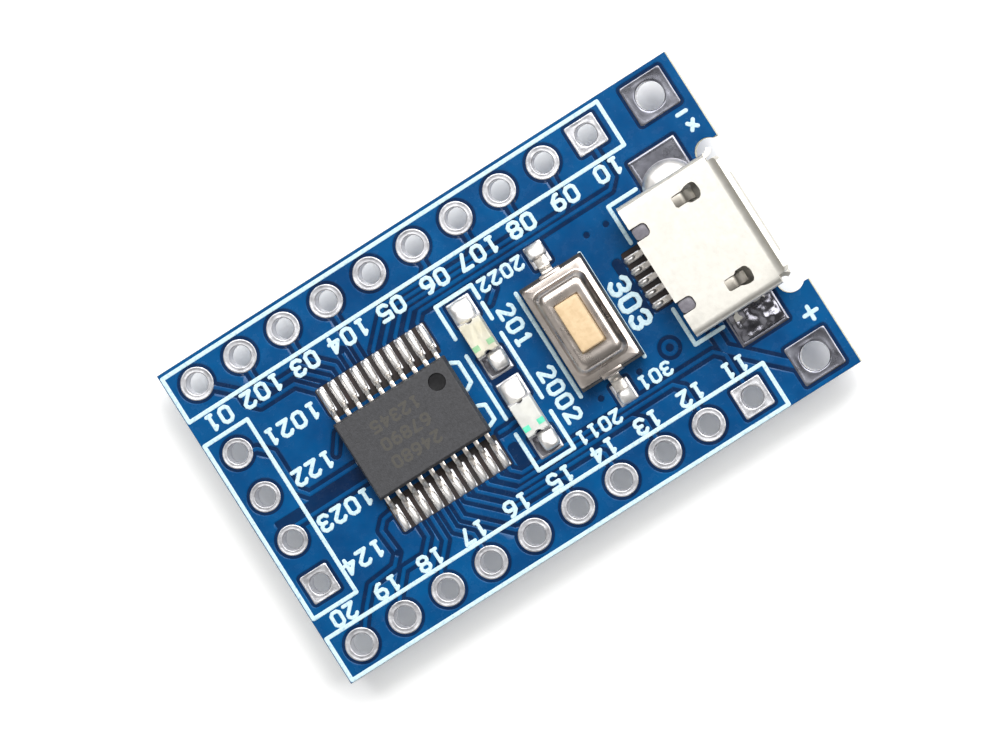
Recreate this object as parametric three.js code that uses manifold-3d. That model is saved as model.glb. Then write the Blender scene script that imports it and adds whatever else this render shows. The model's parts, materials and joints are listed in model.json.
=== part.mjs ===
// A small USB-powered microcontroller board: circuit board, 20-lead controller, USB socket,
// push button, two lamps, and a regulator with its chip capacitors and resistors underneath.
// Millimetres. X runs along the board towards the USB socket, Y across it, Z up.
// The origin is under the middle of the board, on the surface it rests on.

import * as THREE from 'three';
import { mergeVertices } from 'three/addons/utils/BufferGeometryUtils.js';
import Module from 'manifold-3d';

const wasm = await Module();
wasm.setup();

// ---- Driving dimensions ----

const PITCH = 2.54; // hole spacing of pin headers
const BOARD = { length: 29.8, width: 18, thickness: 1.6, underHeight: 1.8 };
const BOARD_TOP = BOARD.underHeight + BOARD.thickness;

const HEADER = { count: 10, firstX: -13.39, rowY: 7.62, holeRadius: 0.55 };
const DEBUG_HEADER = { count: 4, x: -13.53, middleY: -0.18, holeRadius: 0.52 };
const POWER_HOLE = { x: 13.14, y: 7.55, radius: 0.74 };
// The recess for the socket's mouth; round reliefs, centred inside its corners, widen them.
const RECESS = { x: 13.65, halfWidth: 4.16, reliefRadius: 0.7, reliefInset: 0.48 };

const MCU = {
  x: -5.455, y: 0.05, length: 6.5, width: 4.4, standoff: 0.1, height: 1.0,
  draft: 0.1, seam: 0.16, leadPitch: 0.65, leadsPerSide: 10,
};
const MCU_LEAD = { span: 6.4, width: 0.24, thickness: 0.14, foot: 0.55, bend: 0.12, lean: 0.15 };
const DIMPLE = { radius: 0.47, depth: 0.08, inset: 0.95 };

const USB = {
  rearX: 8.83, mouthX: 14.2, width: 7.4, floorWidth: 5.6, kneeHeight: 1.05, height: 2.45,
  sheet: 0.26, cornerRadius: 0.42,
};
// The flared mouth's flaps: how far they reach, rise, start bending and stop short of corners.
const LIP = { length: 0.5, rise: 0.34, root: 0.35, bend: 0.15, roofInset: 0.55, wallInset: 0.25,
  floorInset: 0.3 };
const WING = { rear: 0.7, front: 1.3, reach: 0.5, root: 0.4 }; // from the latch and the walls
const LATCH = { x: 11.42, y: 2.4, narrow: 0.62, wide: 0.92, throat: 0.7, length: 1.6 };
const REAR_NOTCH = { y: 2.1, width: 0.72, length: 0.86 };
const FLOOR_NOTCH = { width: 3.4, length: 1.2 }; // where the contacts leave under the socket
const USB_TONGUE = { bottom: 1.2, thickness: 0.62, width: 3.9, length: 3.6 };
const USB_BLOCK_LENGTH = 1.5;
const USB_CONTACT = {
  count: 5, pitch: 0.65, width: 0.28, thickness: 0.14, footX: 7.85, bend: 0.2,
  riseStart: 0.55, riseEnd: 0.8, tipGap: 0.4,
};
const CONTACT_SLOT = { width: 4.4, length: 0.5, height: 1.0 };

const BUTTON = { x: 4.4, y: -0.05, width: 3.5, length: 5.9, baseHeight: 1.2, sheet: 0.15 };
const WELL = { width: 2.5, length: 3.6, floor: 0.4 };
const BOSS = { width: 2.95, length: 4.7, height: 0.6, slope: 0.38 };
const ACTUATOR = {
  width: 1.3, length: 2.65, top: 2.5, collarWidth: 1.7, collarLength: 3.1, collar: 0.25,
  plungerRadius: 0.5,
};
const DOME = { radius: 1.15, rise: 0.4, sheet: 0.06, steps: 8 };
const RUNNING_GAP = 0.04;
const TERMINAL = {
  width: 0.65, thickness: 0.15, reach: 1.1, bend: 0.15, rootHeight: 0.3, knee: 0.35, ankle: 0.5,
  inset: 0.2,
};

const LED = {
  x: -0.29, length: 2.0, width: 1.25, base: 0.3, plating: 0.04, cap: 0.3, notch: 0.2,
  lensLength: 1.86, lens: 0.5, draft: 0.06, seam: 0.02,
};
const LED_PLACES = { power_led: 2.08, test_led: -2.55 };

const REGULATOR = {
  x: 1.5, y: 0, length: 6.5, width: 3.5, standoff: 0.08, leadPitch: 2.3,
  leadWidth: 0.72, tabWidth: 3.0, span: 7.0, metal: 0.28, foot: 0.7, bend: 0.22, lean: 0.1,
};
const CHIP_SIZES = {
  c0805: { length: 2.0, width: 1.25, height: 1.1, cap: 0.45 },
  c0603: { length: 1.6, width: 0.8, height: 0.8, cap: 0.35 },
  r0603: { length: 1.6, width: 0.8, height: 0.45, cap: 0.3 },
};
const CAP_PROUD = 0.02; // how far a chip's end caps stand out from its body
// Chips under the board, all lying across it: size and place.
const CHIPS = {
  input_capacitor: { size: 'c0805', x: 7.2, y: 2.3 },
  input_bypass_capacitor: { size: 'c0603', x: 7.2, y: -2.3 },
  output_capacitor: { size: 'c0805', x: -4.2, y: 2.5 },
  output_bypass_capacitor: { size: 'c0603', x: -4.2, y: -0.3 },
  core_capacitor: { size: 'c0603', x: -6.8, y: 2.5 },
  reset_capacitor: { size: 'c0603', x: -9.2, y: 2.5 },
  reset_resistor: { size: 'r0603', x: -9.2, y: -0.3 },
  power_led_resistor: { size: 'r0603', x: -4.2, y: -3.1 },
  test_led_resistor: { size: 'r0603', x: -6.8, y: -3.1 },
};

// ---- Materials ----

const material = (color, roughness, metalness) =>
  new THREE.MeshStandardMaterial({ color, roughness, metalness });
const paint = {
  board: () => material(0x0f5a9c, 0.35, 0),
  epoxy: () => material(0x46454a, 0.6, 0),
  tinnedLead: () => material(0xb9b4aa, 0.3, 1),
  shellSteel: () => material(0xe9e6dd, 0.35, 1),
  blackPlastic: () => material(0x1d1d20, 0.5, 0),
  coverSteel: () => material(0xcfcac2, 0.25, 1),
  actuator: () => material(0xf6d9a8, 0.55, 0),
  domeSteel: () => material(0xd8d2c4, 0.3, 1),
  ledBase: () => material(0xe9e4d2, 0.6, 0),
  ledLens: () => material(0xf7f3d8, 0.2, 0),
  ceramic: () => material(0x9a7a56, 0.5, 0),
  resistor: () => material(0x202024, 0.5, 0),
};

// ---- Shape helpers ----

const v2 = (x, y) => new THREE.Vector2(x, y);

// A geometry as a solid that can be joined and cut.
function solid(geometry) {
  const bare = geometry.clone();
  bare.deleteAttribute('normal');
  bare.deleteAttribute('uv');
  const merged = mergeVertices(bare, 1e-5);
  return new wasm.Manifold(new wasm.Mesh({
    numProp: 3,
    vertProperties: new Float32Array(merged.attributes.position.array),
    triVerts: new Uint32Array(merged.index.array),
  }));
}

// A solid as a geometry for a mesh.
function surface(manifold) {
  const mesh = manifold.getMesh();
  const geometry = new THREE.BufferGeometry();
  geometry.setAttribute('position', new THREE.BufferAttribute(mesh.vertProperties, 3));
  geometry.setIndex(new THREE.BufferAttribute(mesh.triVerts, 1));
  geometry.computeVertexNormals();
  return geometry;
}

const join = (...solids) => solids.reduce((whole, piece) => whole.add(piece));
const cut = (whole, ...tools) => tools.reduce((rest, tool) => rest.subtract(tool), whole);

// A box from its lowest and highest corners.
function block([x0, y0, z0], [x1, y1, z1]) {
  const geometry = new THREE.BoxGeometry(x1 - x0, y1 - y0, z1 - z0);
  geometry.translate((x0 + x1) / 2, (y0 + y1) / 2, (z0 + z1) / 2);
  return solid(geometry);
}

// A box centred on X and Y, standing on a given height.
const slab = (width, length, bottom, top, x = 0, y = 0) =>
  block([x - width / 2, y - length / 2, bottom], [x + width / 2, y + length / 2, top]);

// The corners of a rectangle, anticlockwise.
const rectangle = (width, length) => [
  v2(-width / 2, -length / 2), v2(width / 2, -length / 2),
  v2(width / 2, length / 2), v2(-width / 2, length / 2),
];

// The outline with each corner replaced by a curve. An open outline keeps its two ends.
function roundCorners(corners, radius, closed = true, steps = 4) {
  return corners.flatMap((corner, i) => {
    if (!closed && (i === 0 || i === corners.length - 1)) return [corner];
    const before = corners.at(i - 1);
    const after = corners[(i + 1) % corners.length];
    const towards = (point) => point.clone().sub(corner).setLength(radius).add(corner);
    const bend = new THREE.QuadraticBezierCurve(towards(before), corner, towards(after));
    return bend.getPoints(steps);
  });
}

// The outline moved to its left by a distance, with mitred corners.
function offset(points, distance, closed = true) {
  const left = (a, b) => v2(a.y - b.y, b.x - a.x).normalize();
  return points.map((point, i) => {
    const first = !closed && i === 0;
    const last = !closed && i === points.length - 1;
    const next = points[(i + 1) % points.length];
    const leftAfter = last ? left(points[i - 1], point) : left(point, next);
    const leftBefore = first ? leftAfter : left(points.at(i - 1), point);
    const mitre = leftBefore.clone().add(leftAfter).divideScalar(1 + leftBefore.dot(leftAfter));
    return mitre.multiplyScalar(distance).add(point);
  });
}

// An outline extruded upwards from a height.
function plate(outline, bottom, top, holes = []) {
  const shape = new THREE.Shape(outline);
  shape.holes = holes.map((hole) => new THREE.Path(hole));
  const geometry = new THREE.ExtrudeGeometry(shape, { depth: top - bottom, bevelEnabled: false });
  geometry.translate(0, 0, bottom);
  return solid(geometry);
}

// An outline drawn in Y and Z, extruded along X.
function prism(outline, rearX, frontX) {
  const shape = new THREE.Shape(outline);
  const geometry = new THREE.ExtrudeGeometry(shape, { depth: frontX - rearX, bevelEnabled: false });
  geometry.rotateX(Math.PI / 2);
  geometry.rotateZ(Math.PI / 2);
  geometry.translate(rearX, 0, 0);
  return solid(geometry);
}

// A moulded block whose sides lean in above and below the seam at its middle.
function moulded(width, length, bottom, height, draft, seam) {
  const geometry = new THREE.ExtrudeGeometry(new THREE.Shape(rectangle(width, length)), {
    depth: seam,
    bevelThickness: (height - seam) / 2,
    bevelSize: draft,
    bevelOffset: -draft,
    bevelSegments: 1,
  });
  geometry.translate(0, 0, bottom + (height - seam) / 2);
  return solid(geometry);
}

// Sheet metal bent along a route drawn in its side view (X outwards, Z up), width across Y.
function bentStrip(route, bend, thickness, width) {
  const middle = roundCorners(route, bend, false);
  const upper = offset(middle, thickness / 2, false);
  const lower = offset(middle, -thickness / 2, false);
  const geometry = new THREE.ExtrudeGeometry(
    new THREE.Shape([...lower, ...upper.reverse()]), { depth: width, bevelEnabled: false });
  geometry.translate(0, 0, -width / 2);
  geometry.rotateX(Math.PI / 2);
  return geometry;
}

function circle(x, y, radius, sides = 24) {
  return Array.from({ length: sides }, (_, i) => {
    const angle = (i / sides) * 2 * Math.PI;
    return v2(x + radius * Math.cos(angle), y + radius * Math.sin(angle));
  });
}

const spaced = (count, pitch) =>
  Array.from({ length: count }, (_, i) => (i - (count - 1) / 2) * pitch);

// ---- The assembly ----

const board = new THREE.Group();

function add(parent, name, piece, finish, x = 0, y = 0, z = 0, turn = 0) {
  const mesh = new THREE.Mesh(surface(piece), finish);
  mesh.name = name;
  mesh.position.set(x, y, z);
  mesh.rotation.z = turn;
  parent.add(mesh);
}

// Pieces on the board's top face stand on this group's zero height.
const onTop = new THREE.Group();
onTop.position.z = BOARD_TOP;

// Pieces under the board are built standing up, then this group turns them over.
const underneath = new THREE.Group();
underneath.position.z = BOARD.underHeight;
underneath.rotation.x = Math.PI;
board.add(onTop, underneath);

function circuitBoard() {
  const endX = BOARD.length / 2;
  const headerHoles = [-1, 1].flatMap((side) => Array.from({ length: HEADER.count }, (_, i) =>
    circle(HEADER.firstX + i * PITCH, side * HEADER.rowY, HEADER.holeRadius)));
  const debugHoles = spaced(DEBUG_HEADER.count, PITCH).map((y) =>
    circle(DEBUG_HEADER.x, DEBUG_HEADER.middleY + y, DEBUG_HEADER.holeRadius));
  const powerHoles = [-1, 1].map((side) =>
    circle(POWER_HOLE.x, side * POWER_HOLE.y, POWER_HOLE.radius));
  const holes = [...headerHoles, ...debugHoles, ...powerHoles];
  const sheet = plate(rectangle(BOARD.length, BOARD.width), BOARD.underHeight, BOARD_TOP, holes);
  const recess = slab(2 * (endX - RECESS.x), 2 * RECESS.halfWidth, 0, BOARD_TOP + 1, endX);
  const reliefs = [-1, 1].map((side) => plate(circle(RECESS.x + RECESS.reliefInset,
    side * (RECESS.halfWidth - RECESS.reliefInset), RECESS.reliefRadius), 0, BOARD_TOP + 1));
  add(board, 'circuit_board', cut(sheet, recess, ...reliefs), paint.board());
}

function microcontroller() {
  const body = moulded(MCU.length, MCU.width, MCU.standoff, MCU.height, MCU.draft, MCU.seam);
  const top = MCU.standoff + MCU.height;
  const dimple = plate(
    circle(MCU.length / 2 - DIMPLE.inset, MCU.width / 2 - DIMPLE.inset, DIMPLE.radius),
    top - DIMPLE.depth, top + 1);
  add(onTop, 'controller_body', cut(body, dimple), paint.epoxy(), MCU.x, MCU.y);

  const shoulder = MCU.standoff + MCU.height / 2;
  const ankle = MCU_LEAD.span / 2 - MCU_LEAD.foot;
  const sole = MCU_LEAD.thickness / 2;
  const lead = solid(bentStrip([
    v2(MCU.width / 2, shoulder), v2(ankle - MCU_LEAD.lean, shoulder), v2(ankle, sole),
    v2(MCU_LEAD.span / 2, sole),
  ], MCU_LEAD.bend, MCU_LEAD.thickness, MCU_LEAD.width));
  const places = spaced(MCU.leadsPerSide, MCU.leadPitch);
  // Pins 1 to 10 run away from the dimple on its side, and 11 to 20 run back on the other.
  const ordered = [
    ...places.toReversed().map((x) => [x, Math.PI / 2]),
    ...places.map((x) => [x, -Math.PI / 2]),
  ];
  ordered.forEach(([x, turn], i) => {
    const name = `controller_lead_${String(i + 1).padStart(2, '0')}`;
    add(onTop, name, lead, paint.tinnedLead(), MCU.x + x, MCU.y, 0, turn);
  });
}

// The socket's cross-section, wide at the top and narrow at the floor, seen from the mouth.
const socketOutline = (inset) => roundCorners(offset([
  v2(-USB.floorWidth / 2, 0), v2(USB.floorWidth / 2, 0),
  v2(USB.width / 2, USB.kneeHeight), v2(USB.width / 2, USB.height),
  v2(-USB.width / 2, USB.height), v2(-USB.width / 2, USB.kneeHeight),
], inset), USB.cornerRadius - inset / 2);

function usbShell() {
  const frontX = USB.mouthX - LIP.length;
  const tube = cut(
    prism(socketOutline(0), USB.rearX, frontX),
    prism(socketOutline(USB.sheet), USB.rearX - 1, frontX + 1));

  // A flap of the flared mouth, bending out of the tube's front edge. A quarter turn faces it
  // up, left, down or right.
  const flap = (width, quarters, y, z) => {
    const geometry = bentStrip([
      v2(frontX - 0.01, 0), v2(frontX + LIP.root * LIP.length, 0), v2(USB.mouthX, LIP.rise),
    ], LIP.bend, USB.sheet, width);
    geometry.rotateX(quarters * Math.PI / 2);
    geometry.translate(0, y, z);
    return solid(geometry);
  };
  const half = USB.sheet / 2;
  const wallMiddle = (USB.height + USB.kneeHeight) / 2;
  const wallWidth = USB.height - USB.kneeHeight - 2 * LIP.wallInset;
  const flaps = [
    flap(USB.width - 2 * LIP.roofInset, 0, 0, USB.height - half),
    flap(wallWidth, 1, -USB.width / 2 + half, wallMiddle),
    flap(USB.floorWidth - 2 * LIP.floorInset, 2, 0, half),
    flap(wallWidth, 3, USB.width / 2 - half, wallMiddle),
  ];

  // Openings in the roof: latch keyholes near the mouth and notches at the rear.
  const above = [USB.height - USB.sheet - 0.1, USB.height + 1];
  const keyhole = (side) => join(
    slab(LATCH.throat + 0.1, LATCH.narrow, ...above, LATCH.x + LATCH.throat / 2, side * LATCH.y),
    slab(LATCH.length - LATCH.throat, LATCH.wide, ...above,
      LATCH.x + (LATCH.length + LATCH.throat) / 2, side * LATCH.y));
  const notch = (side) => slab(2 * REAR_NOTCH.length, REAR_NOTCH.width, ...above,
    USB.rearX, side * REAR_NOTCH.y);

  // Solder wings, one on each side, lying on the board.
  const wingRoot = USB.floorWidth / 2 - WING.root;
  const wingTip = USB.width / 2 + WING.reach;
  const wing = (side) => block(
    [LATCH.x - WING.rear, side > 0 ? wingRoot : -wingTip, 0],
    [LATCH.x + WING.front, side > 0 ? wingTip : -wingRoot, USB.sheet]);

  const floorNotch = slab(2 * FLOOR_NOTCH.length, FLOOR_NOTCH.width, -0.1, USB.sheet + 0.1,
    USB.rearX);
  const cuts = [1, -1].flatMap((side) => [keyhole(side), notch(side)]);
  const shell = cut(join(tube, ...flaps, wing(1), wing(-1)), ...cuts, floorNotch);
  add(onTop, 'usb_shell', shell, paint.shellSteel());
}

function usbInside() {
  const tongueMiddle = USB_TONGUE.bottom + USB_TONGUE.thickness / 2;
  const blockEnd = USB.rearX + USB_BLOCK_LENGTH;
  const contactHeight = USB_TONGUE.bottom + USB_CONTACT.thickness / 2;
  const route = [
    v2(USB_CONTACT.footX, USB_CONTACT.thickness / 2),
    v2(USB.rearX + USB_CONTACT.riseStart, USB_CONTACT.thickness / 2),
    v2(USB.rearX + USB_CONTACT.riseEnd, contactHeight),
    v2(blockEnd + USB_TONGUE.length - USB_CONTACT.tipGap, contactHeight),
  ];
  const strip = (gap) => bentStrip(route, USB_CONTACT.bend, USB_CONTACT.thickness + gap,
    USB_CONTACT.width + gap);
  const contact = solid(strip(0));
  const channel = (y) => solid(strip(RUNNING_GAP).translate(0, y, 0));
  const lanes = spaced(USB_CONTACT.count, USB_CONTACT.pitch);
  const shrink = USB.sheet + 0.02;
  const rearBlock = prism(socketOutline(shrink), USB.rearX + 0.1, blockEnd);
  const tongue = block(
    [blockEnd - 0.1, -USB_TONGUE.width / 2, tongueMiddle - USB_TONGUE.thickness / 2],
    [blockEnd + USB_TONGUE.length, USB_TONGUE.width / 2, tongueMiddle + USB_TONGUE.thickness / 2]);
  // The contacts rise through one slot that is open at the block's rear.
  const slot = slab(2 * CONTACT_SLOT.length, CONTACT_SLOT.width, 0, CONTACT_SLOT.height, USB.rearX);
  const insulator = cut(join(rearBlock, tongue), slot, ...lanes.map(channel));
  add(onTop, 'usb_insulator', insulator, paint.blackPlastic());
  lanes.toReversed().forEach((y, i) => {
    add(onTop, `usb_contact_${i + 1}`, contact, paint.tinnedLead(), 0, y);
  });
}

function pushButton() {
  const place = [BUTTON.x, BUTTON.y];
  const base = cut(
    plate(rectangle(BUTTON.width, BUTTON.length), 0, BUTTON.baseHeight),
    plate(roundCorners(rectangle(WELL.width, WELL.length), 0.4), WELL.floor, BUTTON.baseHeight + 1),
    ...[-1, 1].map((side) => slab(TERMINAL.width + RUNNING_GAP, 2 * TERMINAL.inset, 0, 0.5, 0,
      side * BUTTON.length / 2)));
  add(onTop, 'button_base', base, paint.blackPlastic(), ...place);

  // The cover is a flat flange with a raised, sloping boss around the actuator.
  const flangeTop = BUTTON.baseHeight + BUTTON.sheet;
  const crown = flangeTop + BOSS.height;
  const boss = (shrink, bottom, top) => {
    const width = BOSS.width - 2 * shrink;
    const length = BOSS.length - 2 * shrink;
    const geometry = new THREE.ExtrudeGeometry(new THREE.Shape(rectangle(width, length)), {
      depth: 0.01,
      bevelThickness: top - bottom,
      bevelSize: BOSS.slope,
      bevelOffset: -BOSS.slope,
      bevelSegments: 1,
    });
    geometry.translate(0, 0, bottom);
    return cut(solid(geometry), slab(width + 1, length + 1, bottom - 2, bottom));
  };
  const opening = slab(ACTUATOR.width + 2 * RUNNING_GAP, ACTUATOR.length + 2 * RUNNING_GAP,
    BUTTON.baseHeight, crown + 1);
  const cover = cut(
    join(plate(rectangle(BUTTON.width - 0.05, BUTTON.length - 0.3), BUTTON.baseHeight, flangeTop),
      boss(0, BUTTON.baseHeight, crown)),
    boss(BUTTON.sheet, BUTTON.baseHeight - 0.01, crown - BUTTON.sheet), opening);
  add(onTop, 'button_cover', cover, paint.coverSteel(), ...place);

  const ceiling = crown - BUTTON.sheet - RUNNING_GAP;
  const plunger = plate(circle(0, 0, ACTUATOR.plungerRadius, 20),
    WELL.floor + DOME.rise + RUNNING_GAP, ceiling);
  const collar = slab(ACTUATOR.collarWidth, ACTUATOR.collarLength, ceiling - ACTUATOR.collar,
    ceiling);
  const stem = slab(ACTUATOR.width, ACTUATOR.length, ceiling - ACTUATOR.collar / 2, ACTUATOR.top);
  add(onTop, 'button_actuator', join(plunger, collar, stem), paint.actuator(), ...place);

  const bowl = (inset) => Array.from({ length: DOME.steps + 1 }, (_, i) => {
    const share = i / DOME.steps;
    const radius = (DOME.radius - inset) * (1 - share);
    return v2(radius, DOME.rise * (1 - (1 - share) ** 2) - inset * share);
  });
  const outer = bowl(0);
  const inner = bowl(DOME.sheet).reverse();
  const domeShape = new THREE.LatheGeometry([...inner, ...outer], 32).rotateX(Math.PI / 2);
  add(onTop, 'button_dome', solid(domeShape), paint.domeSteel(), ...place, WELL.floor);

  const terminal = solid(bentStrip([
    v2(0, TERMINAL.rootHeight), v2(TERMINAL.knee, TERMINAL.rootHeight),
    v2(TERMINAL.ankle, TERMINAL.thickness / 2),
    v2(TERMINAL.reach, TERMINAL.thickness / 2),
  ], TERMINAL.bend, TERMINAL.thickness, TERMINAL.width));
  [1, -1].forEach((side, i) => {
    add(onTop, `button_terminal_${i + 1}`, terminal, paint.tinnedLead(), BUTTON.x,
      BUTTON.y + side * (BUTTON.length / 2 - TERMINAL.inset), 0, side * Math.PI / 2);
  });
}

// A lamp lying across the board: laminate base, plated ends and a clear moulded lens.
function lamp(name, y) {
  // Each end has a half-round plated notch, which the solder climbs.
  const notches = (radius) => [-1, 1].map((side) =>
    plate(circle(0, side * LED.length / 2, radius), -1, LED.length));
  const inner = LED.notch + LED.plating;
  const base = cut(slab(LED.width, LED.length - 2 * LED.plating, LED.plating,
    LED.plating + LED.base), ...notches(inner));
  const plated = LED.base + 2 * LED.plating;
  const cap = (side) => slab(LED.width, LED.cap, 0, plated, 0, side * (LED.length - LED.cap) / 2);
  const wrap = cut(cap(1), base, ...notches(LED.notch));
  const resin = moulded(LED.width, LED.lensLength, LED.plating + LED.base, LED.lens, LED.draft,
    LED.seam);
  const lens = cut(resin, cap(1), cap(-1), ...notches(inner));
  add(onTop, `${name}_base`, base, paint.ledBase(), LED.x, y);
  add(onTop, `${name}_lens`, lens, paint.ledLens(), LED.x, y);
  add(onTop, `${name}_terminal_1`, wrap, paint.tinnedLead(), LED.x, y);
  add(onTop, `${name}_terminal_2`, wrap, paint.tinnedLead(), LED.x, y, 0, Math.PI);
}

function regulator() {
  const height = BOARD.underHeight - REGULATOR.standoff;
  const place = [REGULATOR.x, -REGULATOR.y];
  const body = moulded(REGULATOR.width, REGULATOR.length, REGULATOR.standoff, height, 0.12,
    REGULATOR.metal + 0.04);
  add(underneath, 'regulator_body', body, paint.epoxy(), ...place);
  const shoulder = REGULATOR.standoff + height / 2;
  const sole = REGULATOR.metal / 2;
  const ankle = REGULATOR.span / 2 - REGULATOR.foot;
  const wing = (width) => solid(bentStrip([
    v2(REGULATOR.width / 2, shoulder), v2(ankle - REGULATOR.lean, shoulder), v2(ankle, sole),
    v2(REGULATOR.span / 2, sole),
  ], REGULATOR.bend, REGULATOR.metal, width));
  add(underneath, 'regulator_tab', wing(REGULATOR.tabWidth), paint.tinnedLead(), ...place, 0,
    Math.PI);
  spaced(3, REGULATOR.leadPitch).forEach((y, i) => {
    add(underneath, `regulator_lead_${i + 1}`, wing(REGULATOR.leadWidth), paint.tinnedLead(),
      REGULATOR.x, y - REGULATOR.y);
  });
}

// A chip capacitor or resistor: a block between two end caps that stand slightly proud.
function chip(name, { size, x, y }) {
  const { length, width, height, cap } = CHIP_SIZES[size];
  const core = slab(width - 2 * CAP_PROUD, length - cap, CAP_PROUD, height - CAP_PROUD);
  const ends = [1, -1].map((side) => slab(width, cap, 0, height, 0, side * (length - cap) / 2));
  const finish = size.startsWith('c') ? paint.ceramic() : paint.resistor();
  add(underneath, name, join(core, ...ends), finish, x, -y);
}

circuitBoard();
microcontroller();
usbShell();
usbInside();
pushButton();
Object.entries(LED_PLACES).forEach(([name, y]) => lamp(name, y));
regulator();
Object.entries(CHIPS).forEach(([name, place]) => chip(name, place));

export default board;
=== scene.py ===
"""Looks for a small USB-powered microcontroller board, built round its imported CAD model.

Shapes are built in millimetres, and piece() turns them into metres. X runs along the board
towards the USB socket, Y across it and Z up, as in the CAD model.
"""

import json
import math
from collections import namedtuple

import bmesh
import bpy
import numpy as np
from mathutils import Matrix, Vector, noise
from mathutils.geometry import delaunay_2d_cdt


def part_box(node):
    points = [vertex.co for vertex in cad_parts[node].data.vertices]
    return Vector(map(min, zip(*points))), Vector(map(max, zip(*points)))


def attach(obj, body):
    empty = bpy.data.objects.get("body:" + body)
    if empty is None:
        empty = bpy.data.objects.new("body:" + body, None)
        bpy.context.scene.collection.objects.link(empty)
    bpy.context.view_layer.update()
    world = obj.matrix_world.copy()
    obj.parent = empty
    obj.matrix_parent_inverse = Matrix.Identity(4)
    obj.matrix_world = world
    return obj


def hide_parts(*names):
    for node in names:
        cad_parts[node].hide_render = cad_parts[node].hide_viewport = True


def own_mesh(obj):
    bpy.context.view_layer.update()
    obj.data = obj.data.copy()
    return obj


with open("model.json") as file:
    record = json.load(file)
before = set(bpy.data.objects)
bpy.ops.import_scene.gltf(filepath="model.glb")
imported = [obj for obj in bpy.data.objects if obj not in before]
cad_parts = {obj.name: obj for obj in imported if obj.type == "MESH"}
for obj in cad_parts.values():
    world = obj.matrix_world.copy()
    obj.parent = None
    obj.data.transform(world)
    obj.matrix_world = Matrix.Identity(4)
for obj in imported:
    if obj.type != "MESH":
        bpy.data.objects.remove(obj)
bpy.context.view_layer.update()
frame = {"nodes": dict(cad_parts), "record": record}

MM = 0.001


def node_box(node):
    """The lowest and highest corners of a CAD node, in millimetres."""
    low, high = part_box(node)
    return low / MM, high / MM


def plan(node):
    """A CAD node's middle and half sizes seen from above, and its two corners."""
    low, high = node_box(node)
    return ((low.x + high.x) / 2, (low.y + high.y) / 2,
            (high.x - low.x) / 2, (high.y - low.y) / 2, low, high)


# ---- Driving dimensions ----

board_low, board_high = node_box("circuit_board")
TOP = board_high.z
UNDER = board_low.z
mounts = {mount["name"]: Vector(mount["pos_m"]) / MM for mount in frame["record"]["mounts"]}

PITCH = 2.54
HEADER_COUNT = 10
DEBUG_COUNT = 4
HEADER_HOLE = 0.545
HEADER_RING = 0.85
HEADER_SQUARE = 0.83  # half the width of the square pad that ends each row
DEBUG_HOLE = 0.515
DEBUG_RING = 0.78
POWER_HOLE = 0.735
POWER_HOLE_INSET = 1.0  # from the power pads' mounts to their holes
POWER_PAD = (1.17, 1.08)

# The recess for the socket's mouth; round reliefs, centred inside its corners, widen them.
RECESS = {"x": 13.65, "half": 4.16, "relief": 0.7, "relief_inset": 0.48}

TRACE_HALF = 0.1
CLEARANCE = 0.2  # bare gap beside a trace
PAD_CLEARANCE = 0.15
SHOULDER = 0.05  # width of the slope where the mask rises onto the copper
MASK_LOW = 0.012
MASK_HIGH = 0.042
MASK_INSET = 0.015  # bare laminate along the board's edges
SUNK = 0.01  # how far printed layers reach into the board
INK_HALF = 0.105
STROKE_SHARE = 0.105  # half the width of a digit's strokes, as a share of its height
INK_EDGE = 0.035
INK_TOP = 0.062
TIN_HEIGHT = 0.04

LEAD_PITCH = 0.65
LEADS_PER_SIDE = 10
MCU_X, MCU_Y, MCU_HALF_X, MCU_HALF_Y, mcu_low, mcu_high = plan("controller_body")

LAMPS = ("power_led", "test_led")
BUTTON_X, BUTTON_Y = plan("button_base")[:2]
BUTTON_LEG_X = BUTTON_X - 0.12  # the legs stand a little off the button's middle
# Pads in pairs: how far each is from the part's middle along Y, and its half sizes.
MCU_PAD = (3.42, 0.205, 0.72)
LAMP_PAD = (1.53, 0.66, 0.62)
BUTTON_PAD = (3.98, 0.5, 0.62)
USB_PAD = (4.4, 1.35, 0.95)
USB_PAD_X = 11.74
FOOT_RISE = 0.11  # middle of a bent lead's foot above the board
CHIPS = (
    "input_capacitor", "input_bypass_capacitor", "output_capacitor",
    "output_bypass_capacitor", "core_capacitor", "reset_capacitor", "reset_resistor",
    "power_led_resistor", "test_led_resistor",
)
REGULATOR_LEADS = ("regulator_tab", "regulator_lead_1", "regulator_lead_2", "regulator_lead_3")


# ---- Material helpers ----


def colour(code):
    """A hex colour as linear red, green, blue and alpha."""
    parts = [int(code[i:i + 2], 16) / 255 for i in (1, 3, 5)]
    return [p / 12.92 if p <= 0.04045 else ((p + 0.055) / 1.055) ** 2.4 for p in parts] + [1.0]


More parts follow.
